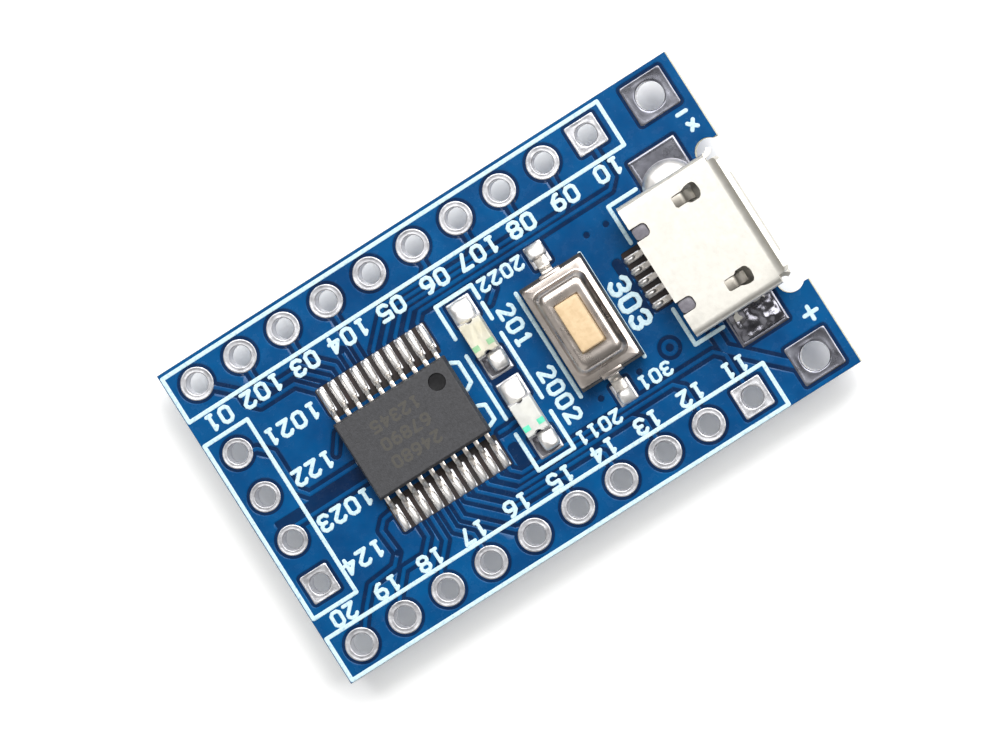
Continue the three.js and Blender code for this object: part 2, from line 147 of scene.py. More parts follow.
class Finish:
    """A material with one Principled shader, and helpers for the nodes that drive it."""

    def __init__(self, name, metallic=0.0, specular=0.5, **sockets):
        self.material = bpy.data.materials.new(name)
        self.material.use_nodes = True
        self.tree = self.material.node_tree
        self.shader = self.tree.nodes["Principled BSDF"]
        self.shader.inputs["Metallic"].default_value = metallic
        self.shader.inputs["Specular IOR Level"].default_value = specular
        for socket, value in sockets.items():
            self.shader.inputs[socket.replace("_", " ").title()].default_value = value
        self.normal = None

    def node(self, kind, **settings):
        made = self.tree.nodes.new(kind)
        for key, value in settings.items():
            setattr(made, key, value)
        return made

    def link(self, source, target):
        self.tree.links.new(source, target)

    def place(self, stretch=(1, 1, 1)):
        """Position on the object in millimetres, stretched along its axes."""
        where = self.node("ShaderNodeTexCoord")
        scaled = self.node("ShaderNodeVectorMath", operation="MULTIPLY")
        scaled.inputs[1].default_value = [s / MM for s in stretch]
        self.link(where.outputs["Object"], scaled.inputs[0])
        return scaled.outputs["Vector"]

    def noise(self, per_mm, detail=3.0, stretch=(1, 1, 1)):
        """Smooth noise with so many swells to a millimetre."""
        made = self.node("ShaderNodeTexNoise")
        made.inputs["Scale"].default_value = per_mm
        made.inputs["Detail"].default_value = detail
        self.link(self.place(stretch), made.inputs["Vector"])
        return made.outputs["Fac"]

    def ramp(self, value, *stops):
        """Colours at shares of a value, such as (0.3, "#102030")."""
        made = self.node("ShaderNodeValToRGB")
        elements = made.color_ramp.elements
        while len(elements) < len(stops):
            elements.new(0.5)
        for element, (share, code) in zip(elements, stops):
            element.position = share
            element.color = colour(code)
        self.link(value, made.inputs["Fac"])
        return made.outputs["Color"]

    def spread(self, value, low, high):
        """The middle of a noise's range, spread between two numbers."""
        made = self.node("ShaderNodeMapRange")
        for socket, number in zip(("From Min", "From Max", "To Min", "To Max"),
                                  (0.3, 0.7, low, high)):
            made.inputs[socket].default_value = number
        self.link(value, made.inputs["Value"])
        return made.outputs["Result"]

    def maths(self, operation, first, second):
        made = self.node("ShaderNodeMath", operation=operation)
        for socket, value in zip(made.inputs, (first, second)):
            if isinstance(value, (int, float)):
                socket.default_value = value
            else:
                self.link(value, socket)
        return made.outputs[0]

    def mix(self, share, first, second):
        made = self.node("ShaderNodeMix", data_type="RGBA")
        self.link(share, made.inputs["Factor"])
        self.link(first, made.inputs["A"])
        self.link(second, made.inputs["B"])
        return made.outputs["Result"]

    def paint(self, source):
        self.link(source, self.shader.inputs["Base Color"])

    def gloss(self, source):
        self.link(source, self.shader.inputs["Roughness"])

    def bump(self, height, depth):
        """Adds relief of a depth in millimetres; several add up."""
        made = self.node("ShaderNodeBump")
        made.inputs["Distance"].default_value = depth * MM
        self.link(height, made.inputs["Height"])
        if self.normal:
            self.link(self.normal, made.inputs["Normal"])
        self.normal = made.outputs["Normal"]
        self.link(self.normal, self.shader.inputs["Normal"])


# ---- Materials ----


def mask_finish(name, dark, middle, light):
    """Blue solder mask: slightly uneven colour, a soft gloss and a faint orange-peel surface."""
    made = Finish(name, specular=0.25)
    made.paint(made.ramp(made.noise(0.45, 4), (0.3, dark), (0.5, middle), (0.72, light)))
    made.gloss(made.spread(made.noise(2.5), 0.2, 0.3))
    made.bump(made.noise(9, 4), 0.004)
    made.bump(made.noise(1.2, 2), 0.006)
    return made.material


def ink_finish():
    """White screen-printed ink, a little uneven where it thins out over the mask."""
    made = Finish("silkscreen_ink")
    made.paint(made.ramp(made.noise(7, 5), (0.28, "#a0bdca"), (0.42, "#bfd8e0"), (0.7, "#cde3e9")))
    made.gloss(made.spread(made.noise(4), 0.45, 0.62))
    made.bump(made.noise(16, 4), 0.012)
    return made.material


def laminate_finish():
    """Glass-fibre laminate: pale woven layers at the sawn edges, dark where a face is bare."""
    made = Finish("glass_laminate")
    weave = made.node("ShaderNodeTexWave", bands_direction="Z")
    for socket, value in (("Scale", 1.1), ("Distortion", 1.2), ("Detail", 3)):
        weave.inputs[socket].default_value = value
    made.link(made.place(), weave.inputs["Vector"])
    edge = made.ramp(weave.outputs["Fac"], (0.1, "#b9b79f"), (0.5, "#c9c7b1"), (0.85, "#d3d1be"))
    fibres = made.noise(3, 4, (0.5, 0.5, 3))
    bare = made.ramp(fibres, (0.3, "#0d0605"), (0.55, "#1b0e0b"), (0.8, "#2b1a15"))
    across = made.node("ShaderNodeSeparateXYZ")
    made.link(made.place(), across.inputs[0])
    inner = made.maths("MULTIPLY", *[
        made.maths("LESS_THAN", made.maths("ABSOLUTE", across.outputs[axis], 0), reach - 0.1)
        for axis, reach in (("X", board_high.x), ("Y", board_high.y))])
    facing = made.node("ShaderNodeSeparateXYZ")
    made.link(made.node("ShaderNodeNewGeometry").outputs["Normal"], facing.inputs[0])
    level = made.maths("GREATER_THAN", made.maths("ABSOLUTE", facing.outputs["Z"], 0), 0.5)
    made.paint(made.mix(made.maths("MULTIPLY", level, inner), edge, bare))
    made.gloss(made.spread(fibres, 0.55, 0.75))
    made.bump(weave.outputs["Fac"], 0.004)
    made.bump(made.noise(14, 3), 0.01)
    return made.material


def metal_finish(name, shades, roughness, grain, depth):
    """Bare metal with uneven tone and gloss, and a bump of the given grain and depth."""
    made = Finish(name, metallic=1.0)
    dark, light = shades
    made.paint(made.ramp(made.noise(grain * 0.6, 4), (0.3, dark), (0.7, light)))
    made.gloss(made.spread(made.noise(grain * 0.8, 4), *roughness))
    made.bump(made.noise(grain, 4), depth)
    made.bump(made.noise(grain * 5, 3), depth * 0.2)
    return made.material


def plastic_finish(name, dark, light, roughness, grain, depth, **sockets):
    """Moulded plastic or resin: a fine even texture with a little variation of tone."""
    made = Finish(name, **sockets)
    made.paint(made.ramp(made.noise(grain, 5), (0.32, dark), (0.68, light)))
    made.gloss(made.spread(made.noise(grain * 0.5), *roughness))
    made.bump(made.noise(grain * 1.6, 4), depth)
    return made.material


mask_on_copper = mask_finish("mask_over_copper", "#003d6e", "#004679", "#004f84")
mask_on_laminate = mask_finish("mask_over_laminate", "#021c3c", "#032347", "#042a50")
ink = ink_finish()
laminate = laminate_finish()
tin = metal_finish("tinned_copper", ("#aaaaae", "#dadadd"), (0.34, 0.46), 3.4, 0.012)
flat_tin = metal_finish("flat_tin", ("#6c6c74", "#9a9ba4"), (0.24, 0.36), 1.6, 0.01)
# The plating inside the holes is painted lighter than the tin on the pads: a painted reflection of
# the bright table under the board.
lit_hole_wall = metal_finish("hole_wall_tin", ("#e6e6ea", "#fbfbfd"), (0.5, 0.6), 3.4, 0.004)
solder = metal_finish("solder", ("#e6e3e0", "#fdfbf8"), (0.42, 0.52), 2.2, 0.006)
# A darker copy of the solder: painted shade for solder on the shaded side of a part.
shaded_solder = metal_finish("shaded_solder", ("#6a6970", "#9c9ba2"), (0.18, 0.3), 2.4, 0.012)
lead_metal = metal_finish("lead_plating", ("#c6bfb7", "#efe9e1"), (0.3, 0.42), 6.0, 0.006)
shell_metal = metal_finish("shell_plating", ("#d6d3cb", "#dfdcd4"), (0.44, 0.49), 5.0, 0.003)
# The latch springs are the shell's own plating, painted darker as painted shade down in the
# keyholes.
shaded_latch_metal = metal_finish("shaded_latch_plating", ("#75716a", "#8e8a82"), (0.36, 0.44), 2.0, 0.003)
cover_metal = metal_finish("cover_plating", ("#bfb4ab", "#dad0c8"), (0.25, 0.33), 1.5, 0.002)
spring_metal = metal_finish("spring_plating", ("#c3bba9", "#ddd6c6"), (0.2, 0.3), 3.0, 0.004)
epoxy = plastic_finish("epoxy_moulding", "#303032", "#3e3e41", (0.55, 0.68), 9.0, 0.012)
polished_epoxy = plastic_finish("polished_epoxy", "#0b0b0d", "#111113", (0.35, 0.45), 6.0, 0.002,
                                specular=0.3)
grey_plastic = plastic_finish("socket_post", "#6a676e", "#7e7b82", (0.4, 0.5), 5.0, 0.004)
black_plastic = plastic_finish("black_plastic", "#131315", "#202023", (0.4, 0.55), 6.0, 0.006)
actuator_plastic = plastic_finish("actuator_plastic", "#cdb189", "#d9be97", (0.42, 0.55), 5.0,
                                  0.006)
led_laminate = plastic_finish("lamp_laminate", "#e4dfcc", "#f4f0e0", (0.5, 0.65), 5.0, 0.006)
cream_resin = plastic_finish("cream_resin", "#e9e2c8", "#f6f1dd", (0.14, 0.24), 2.0, 0.002,
                             alpha=0.62)
clear_resin = plastic_finish("clear_resin", "#dfdfd9", "#efefea", (0.14, 0.24), 2.0, 0.002,
                             alpha=0.72)
die_finish = plastic_finish("lamp_die", "#26241f", "#3d3a33", (0.3, 0.45), 8.0, 0.003)
pale_marking = plastic_finish("pale_lamp_marking", "#84b488", "#9cc699", (0.4, 0.55), 6.0, 0.003)
green_marking = plastic_finish("green_lamp_marking", "#4cc9a0", "#6bdcb8", (0.4, 0.55), 6.0,
                               0.003)
laser_marking = plastic_finish("laser_marking", "#413f3b", "#4c4943", (0.6, 0.7), 12.0, 0.004)
ceramic = plastic_finish("ceramic", "#8a6b48", "#a88760", (0.45, 0.6), 7.0, 0.006)
glaze = plastic_finish("resistor_glaze", "#151518", "#26262a", (0.25, 0.4), 7.0, 0.004)
alumina = plastic_finish("alumina", "#d8d5cc", "#eeece5", (0.5, 0.65), 7.0, 0.006)


# ---- Shape helpers: a shell is (points, faces) ----


def rounded(half_x, half_y, radius, x=0.0, y=0.0, z=0.0, corner=6):
    """The outline of a rectangle with round corners, anticlockwise, at a height."""
    points = []
    for quarter, (side_x, side_y) in enumerate(((1, 1), (-1, 1), (-1, -1), (1, -1))):
        for step in range(corner + 1):
            angle = (quarter + step / corner) * math.pi / 2
            points.append((
                x + side_x * (half_x - radius) + radius * math.cos(angle),
                y + side_y * (half_y - radius) + radius * math.sin(angle),
                z,
            ))
    return points


def disc(radius, x, y, z=0.0):
    """The outline of a circle at a height."""
    return rounded(radius, radius, radius, x, y, z, corner=9)


def loft(rings, closed=False):
    """Skin between matching rings, capped at both ends unless the rings close on themselves."""
    count = len(rings[0])
    points = [p for ring in rings for p in ring]
    faces = []
    for r in range(len(rings) if closed else len(rings) - 1):
        a = r * count
        b = (r + 1) % len(rings) * count
        for i in range(count):
            j = (i + 1) % count
            faces.append((a + i, a + j, b + j, b + i))
    if not closed:
        faces.append(tuple(reversed(range(count))))
        faces.append(tuple(range(len(points) - count, len(points))))
    return points, faces


def moved(shell, x=0.0, y=0.0, z=0.0, turn=0.0):
    """The shell turned about Z, then moved."""
    points, faces = shell
    shift = Matrix.Translation((x, y, z)) @ Matrix.Rotation(turn, 4, "Z")
    return [tuple(shift @ Vector(p)) for p in points], faces


def upside_down(shell):
    """A shell that stands on height 0, hung under the board instead."""
    points, faces = shell
    return [(x, y, UNDER - z) for x, y, z in points], faces


def soft_box(low, high, edge):
    """A box with rounded edges between two corners."""
    half_x, half_y = (high[0] - low[0]) / 2, (high[1] - low[1]) / 2
    x, y = low[0] + half_x, low[1] + half_y

    def ring(start, way, angle):
        inset = edge * (1 - math.sin(angle))
        z = start + way * edge * (1 - math.cos(angle))
        return rounded(half_x - inset, half_y - inset, edge, x, y, z, corner=3)

    turns = [math.radians(degrees) for degrees in (0, 30, 60, 90)]
    return loft([ring(low[2], 1, angle) for angle in turns]
                + [ring(high[2], -1, angle) for angle in turns[::-1]])


def curve(before, corner, after, radius, steps):
    """Points of the curve that replaces a corner, starting and ending a radius from it."""
    start = corner + (before - corner).normalized() * radius
    end = corner + (after - corner).normalized() * radius
    shares = [step / steps for step in range(steps + 1)]
    return [(1 - s) ** 2 * start + 2 * s * (1 - s) * corner + s ** 2 * end for s in shares]


def round_corners(route, radius):
    """An open route with its inner corners replaced by curves."""
    spots = [Vector(spot) for spot in route]
    points = spots[:1]
    for before, corner, after in zip(spots, spots[1:], spots[2:]):
        points += curve(before, corner, after, radius, 5)
    return points + spots[-1:]


def bent_strip(route, bend, width, thickness, edge=0.025):
    """Sheet metal bent along a route of (out, up) points, with softened edges and ends."""
    middle = round_corners(route, bend)
    stations = []
    for i, point in enumerate(middle):
        before, after = middle[max(i - 1, 0)], middle[min(i + 1, len(middle) - 1)]
        along = (after - before).normalized()
        if i == 0:
            stations += [(point, along, edge), (point + along * edge, along, 0.0)]
        elif i == len(middle) - 1:
            stations += [(point - along * edge, along, 0.0), (point, along, edge)]
        else:
            stations.append((point, along, 0.0))
    rings = []
    for point, along, inset in stations:
        section = rounded(width / 2 - inset, thickness / 2 - inset * 0.9, edge - inset * 0.9,
                          corner=2)
        rings.append([(point.x - up * along.y, across, point.y + up * along.x)
                      for across, up, _ in section])
    return loft(rings)


def lump(x, y, scale, seed):
    """Smooth noise from -1 to 1 at a place, the same in every run."""
    return noise.noise(Vector((x * scale, y * scale, seed)))


def mound(x, y, half_x, half_y, crest, roundness, lumps, seed, steps, steep):
    """Frozen solder on a pad.

    crest is its height in the middle and what that gains towards its +X and +Y ends, roundness
    draws in its corners, lumps is its unevenness, and a lower steep makes steeper sides.
    """
    height, along_x, along_y = crest
    shares = [math.sin(math.pi / 2 * (2 * i / steps - 1)) for i in range(steps + 1)]
    points = []
    for level in (1, 0):
        for t in shares:
            for s in shares:
                px = x + half_x * s * math.sqrt(1 - roundness * t * t / 2)
                py = y + half_y * t * math.sqrt(1 - roundness * s * s / 2)
                rise = ((1 - s * s) * (1 - t * t)) ** steep
                swell = height + along_x * s + along_y * t + lumps * lump(px, py, 2.6, seed)
                points.append((px, py, max(level * rise * swell, 0.0) - SUNK * (1 - level)))
    row = steps + 1
    faces = []
    for j in range(steps):
        for i in range(steps):
            a = j * row + i
            faces.append((a, a + 1, a + row + 1, a + row))
            faces.append(tuple(k + row * row for k in (a, a + row, a + row + 1, a + 1)))
    rim = (list(range(steps)) + [j * row + steps for j in range(steps)]
           + [steps * row + i for i in range(steps, 0, -1)]
           + [j * row for j in range(steps, 0, -1)])
    for a, b in zip(rim, rim[1:] + rim[:1]):
        faces.append((a + row * row, b + row * row, b, a))
    return points, faces


def placed(name, data):
    """A new object in the scene."""
    made = bpy.data.objects.new(name, data)
    bpy.context.scene.collection.objects.link(made)
    return made


def clean_mesh(name, shells):
    """One mesh in millimetres from shells, with doubled points merged and faces outward."""
    work = bmesh.new()
    for points, faces in shells:
        corners = [work.verts.new(p) for p in points]
        for face in faces:
            work.faces.new([corners[i] for i in face])
    bmesh.ops.remove_doubles(work, verts=work.verts, dist=1e-5)
    bmesh.ops.dissolve_degenerate(work, edges=work.edges, dist=1e-5)
    bmesh.ops.recalc_face_normals(work, faces=work.faces)
    mesh = bpy.data.meshes.new(name)
    work.to_mesh(mesh)
    work.free()
    return mesh


def show(mesh, name, finishes, body="board", stands_for=()):
    """Puts a finished mesh, in millimetres, into the scene and onto its body."""
    mesh.transform(Matrix.Scale(MM, 4))
    made = placed(name, mesh)
    for finish in finishes:
        mesh.materials.append(finish)
    even = made.modifiers.new("even", "WEIGHTED_NORMAL")
    even.keep_sharp = True
    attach(made, body)
    if stands_for:
        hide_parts(*stands_for)
    return made


def piece(name, shells, finish, body="board", stands_for=(), sharp=38):
    """One piece from shells, smooth except across edges sharper than an angle."""
    mesh = clean_mesh(name, shells)
    mesh.shade_smooth()
    mesh.set_sharp_from_angle(angle=math.radians(sharp))
    return show(mesh, name, [finish], body, stands_for)


def solder_piece(name, blob, finish=solder, lift=0.03, sharp=38):
    """Solder standing a little above the board's top, on its pad."""
    piece(name, [moved(blob, z=TOP + lift)], finish, sharp=sharp)


def carved(name, shells, cutters, bevel=0.0):
    """A mesh in millimetres: the shells less the cutters, with its sharp edges bevelled."""
    whole = placed(name, clean_mesh(name, shells))
    tools = [placed(f"{name}_tool_{i}", clean_mesh("tool", [cutter]))
             for i, cutter in enumerate(cutters)]
    for tool in tools:
        step = whole.modifiers.new("cut", "BOOLEAN")
        step.operation = "DIFFERENCE"
        step.solver = "EXACT"
        step.object = tool
    if bevel:
        step = whole.modifiers.new("bevel", "BEVEL")
        step.width = bevel
        step.segments = 2
        step.limit_method = "ANGLE"
        step.angle_limit = math.radians(40)
    mesh = finished_mesh(whole)
    for tool in tools:
        bpy.data.objects.remove(tool)
    mesh.shade_smooth()
    mesh.set_sharp_from_angle(angle=math.radians(20))
    return mesh


def finished_mesh(made):
    """The mesh of an object with its modifiers applied; the object itself is removed."""
    mesh = bpy.data.meshes.new_from_object(
        made.evaluated_get(bpy.context.evaluated_depsgraph_get()))
    bpy.data.objects.remove(made)
    return mesh


# ---- Printed layers: copper, mask, tin and ink ----


class Bar:
    """A straight stroke with round ends, or a dot where both ends are the same."""

    def __init__(self, start, end, half, steps=5):
        self.start = np.array(start, float)
        self.end = np.array(end, float)
        self.half = half
        self.steps = steps

    def outline(self, grow):
        along = self.end - self.start
        heading = math.atan2(along[1], along[0])
        points = []
        for tip, turn in ((self.end, -math.pi / 2), (self.start, math.pi / 2)):
            for step in range(self.steps + 1):
                angle = heading + turn + math.pi * step / self.steps
                points.append((tip[0] + (self.half + grow) * math.cos(angle),
                               tip[1] + (self.half + grow) * math.sin(angle)))
        return points

    def distance(self, places):
        along = self.end - self.start
        share = np.clip((places - self.start) @ along / max(along @ along, 1e-12), 0, 1)
        nearest = self.start + share[:, None] * along
        return np.linalg.norm(places - nearest, axis=1) - self.half


def dot(x, y, radius):
    return Bar((x, y), (x, y), radius, steps=16)


class Patch:
    """A rectangle with slightly round corners."""

    def __init__(self, x, y, half_x, half_y, corner=0.06):
        self.middle = np.array((x, y), float)
        self.halves = np.array((half_x, half_y), float)
        self.corner = corner

    def outline(self, grow):
        radius = max(self.corner + grow, 0.004)
        half_x, half_y = self.halves + grow
        return [p[:2] for p in rounded(half_x, half_y, radius, *self.middle, corner=3)]

    def distance(self, places):
        beyond = np.abs(places - self.middle) - (self.halves - self.corner)
        outside = np.linalg.norm(np.maximum(beyond, 0), axis=1)
        return outside + np.minimum(beyond.max(axis=1), 0) - self.corner


def nearest(shapes, places):
    """Signed distance from places to the closest of some shapes, negative inside."""
    if not shapes:
        return np.full(len(places), 9.0)
    return np.min([shape.distance(places) for shape in shapes], axis=0)


def path(points, half=TRACE_HALF):
    return [Bar(a, b, half) for a, b in zip(points, points[1:])]


def relief(outlines, kept, height, pick=None):
    """A printed layer as a mesh in millimetres, standing on height 0.

    outlines are (role, points). Where outlines overlap, kept says from their roles whether
    the layer is there; height gives the level at places, and pick the material at places.
    """
    corners, loops = [], []
    for _, points in outlines:
        loops.append(list(range(len(corners), len(corners) + len(points))))
        corners.extend(Vector(p) for p in points)
    found = delaunay_2d_cdt(corners, [], loops, 1, 1e-4)
    triangles = [face for face, sources in zip(found[2], found[5])
                 if kept({outlines[i][0] for i in sources})]
    used = sorted({i for face in triangles for i in face})
    index = {old: new for new, old in enumerate(used)}
    places = np.array([found[0][i] for i in used])
    levels = height(places)
    count = len(used)
    points = [(x, y, z) for (x, y), z in zip(places, levels)]
    points += [(x, y, -SUNK) for x, y in places]
    top = [tuple(index[i] for i in face) for face in triangles]
    bottom = [tuple(count + i for i in reversed(face)) for face in top]
    edges = {(face[k], face[(k + 1) % 3]) for face in top for k in range(3)}
    walls = [(a + count, b + count, b, a) for a, b in edges if (b, a) not in edges]
    walls.sort()
    mesh = bpy.data.meshes.new("layer")
    mesh.from_pydata(points, [], top + bottom + walls)
    sloping = [bool(np.ptp([levels[i] for i in face]) > 1e-4) for face in top]
    mesh.polygons.foreach_set("use_smooth", sloping + [False] * (len(bottom) + len(walls)))
    if pick:
        middles = np.array([np.mean([places[i] for i in face], axis=0) for face in top])
        chosen = [int(c) for c in pick(middles)]
        mesh.polygons.foreach_set("material_index", chosen + chosen + [0] * len(walls))
    mesh.update()
    return mesh


def board_outline(inset):
    """The board's edge, a little inside it, with the recess for the socket's mouth."""
    low_x, low_y = board_low.x + inset, board_low.y + inset
    high_x, high_y = board_high.x - inset, board_high.y - inset
    middle_x = RECESS["x"] + RECESS["relief_inset"]
    middle_y = RECESS["half"] - RECESS["relief_inset"]
    radius = RECESS["relief"] + inset
    first = math.asin((RECESS["relief_inset"] + inset) / radius)
    angles = [first + (1.5 * math.pi - 2 * first) * k / 12 for k in range(13)]
    relief = [(middle_x + radius * math.cos(a), middle_y + radius * math.sin(a)) for a in angles]
    half = [(high_x, RECESS["half"] + inset)] + relief
    return ([(low_x, low_y), (high_x, low_y)] + [(x, -y) for x, y in half] + half[::-1]
            + [(high_x, high_y), (low_x, high_y)])


def mask_layer(side):
    """Solder mask that rises over the copper and dips over the bare gaps beside it."""
    pads, traces, voids, pits = side["pads"], side["traces"], side["voids"], side["pits"]

    def off_copper(places):
        """Signed distance to the copper under the mask, negative over copper."""
        from_pad = nearest(pads, places)
        from_trace = nearest(traces, places)
        pour = np.maximum(PAD_CLEARANCE - from_pad, CLEARANCE - from_trace)
        pour = np.maximum(pour, -nearest(voids, places))
        copper = np.minimum(np.minimum(from_pad, from_trace), pour)
        return np.maximum(copper, -nearest(pits, places))

    def height(places):
        share = np.clip(-off_copper(places) / SHOULDER, 0, 1)
        return MASK_LOW + (MASK_HIGH - MASK_LOW) * share

    outlines = [("board", board_outline(MASK_INSET))]
    for pad in pads:
        outlines += [("level", pad.outline(g)) for g in (PAD_CLEARANCE, PAD_CLEARANCE + SHOULDER)]
    for trace in traces:
        outlines += [("level", trace.outline(g))
                     for g in (-SHOULDER, 0, CLEARANCE, CLEARANCE + SHOULDER)]
    for shape in voids + pits:
        outlines += [("level", shape.outline(g)) for g in (0, SHOULDER)]
    outlines += [("opening", shape.outline(0)) for shape in pads + side["windows"]]
    return relief(outlines, lambda roles: "board" in roles and "opening" not in roles, height,
                  lambda places: off_copper(places) > 0)


def ink_layer(strokes):
    def height(places):
        share = np.clip(-nearest(strokes, places) / INK_EDGE, 0, 1)
        return MASK_HIGH + (INK_TOP - MASK_HIGH) * share

    outlines = [(role, stroke.outline(grow)) for stroke in strokes
                for role, grow in (("ink", 0), ("level", -INK_EDGE))]
    return relief(outlines, lambda roles: "ink" in roles, height)


def tin_layer(pads):
    """Tinned pads: a raised rim where the tin gathers, and a slightly dished middle."""
    rim = ((0.0, 0.45), (0.04, 1.15), (0.1, 1.35), (0.2, 0.85))  # depth inside, share of height

    def height(places):
        inside = -nearest(pads, places)
        return TIN_HEIGHT * np.interp(inside, [r[0] for r in rim], [r[1] for r in rim])

    outlines = [("tin" if inset == 0 else "level", pad.outline(-inset))
                for pad in pads for inset, _ in rim if min(pad.halves) > inset + 0.02]
    return relief(outlines, lambda roles: "tin" in roles, height)


# ---- Where the holes, pads, traces and printing are ----


Hole = namedtuple("Hole", "x y radius half_x half_y square")  # its place, bore and pad


def header_x(i):
    return mounts["header_row_1_top"].x + (i - (HEADER_COUNT - 1) / 2) * PITCH


def header_row(mount):
    """Round pads, and a square one at the end nearest the socket."""
    rings = [(HEADER_RING, False)] * (HEADER_COUNT - 1) + [(HEADER_SQUARE, True)]
    return [Hole(header_x(i), mounts[mount].y, HEADER_HOLE, half, half, square)
            for i, (half, square) in enumerate(rings)]


def debug_row():
    middle = mounts["debug_header_top"]
    last = DEBUG_COUNT - 1
    return [Hole(middle.x, middle.y + (last / 2 - i) * PITCH, DEBUG_HOLE, DEBUG_RING, DEBUG_RING,
                 i == last) for i in range(DEBUG_COUNT)]


def power_holes():
    return [Hole(mounts[name].x + POWER_HOLE_INSET, mounts[name].y, POWER_HOLE, *POWER_PAD, True)
            for name in ("negative_power_pad", "positive_power_pad")]


HOLES = {
    "header_row_1": header_row("header_row_1_top"),
    "header_row_2": header_row("header_row_2_top"),
    "debug_header": debug_row(),
    "power_pads": power_holes(),
}


def hole_pad(place):
    if place.square:
        return Patch(place.x, place.y, place.half_x, place.half_y, 0.1)
    return dot(place.x, place.y, place.half_x)


hole_pads = [hole_pad(place) for row in HOLES.values() for place in row]


def lead_x(i):
    return MCU_X + (i - (LEADS_PER_SIDE - 1) / 2) * LEAD_PITCH


def contact_places():
    boxes = [node_box(f"usb_contact_{i}") for i in range(1, 6)]
    return [(low.x, (low.y + high.y) / 2) for low, high in boxes]


def pair(x, y, offset, half_x, half_y):
    """A pad on either side of a place."""
    return [Patch(x, y + side * offset, half_x, half_y) for side in (1, -1)]


def top_pads():
    columns = [pair(lead_x(i), MCU_Y, *MCU_PAD) for i in range(LEADS_PER_SIDE)]
    pads = [pads[end] for end in (0, 1) for pads in columns]
    for name in LAMPS:
        pads += pair(*plan(f"{name}_base")[:2], *LAMP_PAD)
    pads += pair(BUTTON_LEG_X, BUTTON_Y, *BUTTON_PAD)
    pads += [Patch(x + 0.35, y, 0.45, 0.19) for x, y in contact_places()]
    return pads


def socket_pads():
    return pair(USB_PAD_X, 0, *USB_PAD)


def fan_out(side):
    """Traces from one side's right-hand controller leads along the board to the header."""
    runs = []
    outermost, spacing, bevel = 5.95, 0.31, 0.45
    for step, i in enumerate(range(LEADS_PER_SIDE // 2, LEADS_PER_SIDE)):
        level = outermost - spacing * step
        x, goal = lead_x(i), header_x(i)
        runs += path([(x, side * 4.0), (x, side * 4.3), (x + level - 4.3, side * level),
                      (goal - bevel, side * level), (goal, side * (level + bevel)),
                      (goal, side * 7.0)])
    return runs


def top_traces():
    runs = fan_out(1) + fan_out(-1)
    routes = [
        [(lead_x(4), 4.0), (header_x(3), 7.0)],
        [(lead_x(3), 4.0), (lead_x(3), 5.1)],
        [(lead_x(2), 4.0), (lead_x(2), 4.7), (header_x(2), 5.95), (header_x(2), 7.0)],
        [(lead_x(1), 4.0), (lead_x(1), 4.3), (-8.9, 5.5), (-10.2, 5.5), (header_x(1), 6.15),
         (header_x(1), 7.0)],
        [(lead_x(0), 4.0), (-9.3, 5.0), (-11.3, 5.0), (-11.8, 5.5), (-11.8, 6.1), (-12.8, 7.05)],
        [(lead_x(4), -4.0), (lead_x(4), -5.0), (-3.9, -6.9), (header_x(4), -7.2)],
        [(lead_x(3), -4.0), (lead_x(3), -5.3), (header_x(3), -5.96), (header_x(3), -7.0)],
        [(lead_x(2), -4.0), (lead_x(2), -5.5), (-8.0, -6.5), (header_x(2), -7.0)],
        [(lead_x(1), -4.0), (lead_x(1), -4.9), (-8.4, -5.6), (-9.6, -5.6), (-10.5, -6.6),
         (header_x(1), -7.1)],
        [(-8.5, -2.9), (-9.15, -3.0), (-9.55, -3.4), (-9.45, -4.75), (-9.95, -5.25),
         (-11.45, -5.4), (-12.2, -6.2), (-12.9, -7.1)],
        [(-13.53, 3.6), (-12.6, 3.3), (-12.0, 2.7), (-12.0, 0.5), (-11.6, 0.0), (-8.7, 0.0)],
        [(-13.5, -1.4), (-13.0, -0.92), (-8.7, -0.92)],
        [(-8.8, 1.8), (-9.4, 1.0)],
        [(-2.0, -2.45), (-1.4, -2.45), (-1.2, -2.4), (-0.7, -2.4)],
        [(1.0, 3.2), (1.6, 3.7)],
    ]
    for route in routes:
        runs += path(route)
    runs += path([(9.59, -3.9), (9.59, -4.9), (12.2, -7.5)], 0.2)
    return runs


VIAS = ((6.84, 3.45), (7.94, 3.4), (5.44, -3.6), (3.14, -3.7), (-9.45, -4.75), (-6.43, 5.15),
        (1.7, 3.75))
TENTED_VIA = (7.34, -3.4)


def top_side():
    ring = dot(*TENTED_VIA, 0.42)
    voids = [
        Patch(-11.26, -0.47, 2.6, 0.22),
        Patch(-1.8, -4.0, 0.3, 0.8, 0.2),
        Patch(-0.29, -0.22, 0.75, 0.14),
        Patch(7.35, 0.0, 0.25, 1.7, 0.2),
    ]
    windows = [Patch(MCU_X, MCU_Y + side * 3.27, 3.2, 0.88, 0.1) for side in (1, -1)]
    windows.append(Patch(8.35, 0.1, 0.62, 1.66, 0.1))
    return {
        "pads": hole_pads + top_pads() + socket_pads(),
        "traces": top_traces() + [ring],
        "voids": voids,
        "pits": [dot(x, y, 0.16) for x, y in VIAS] + [dot(*TENTED_VIA, 0.2)],
        "windows": windows,
    }


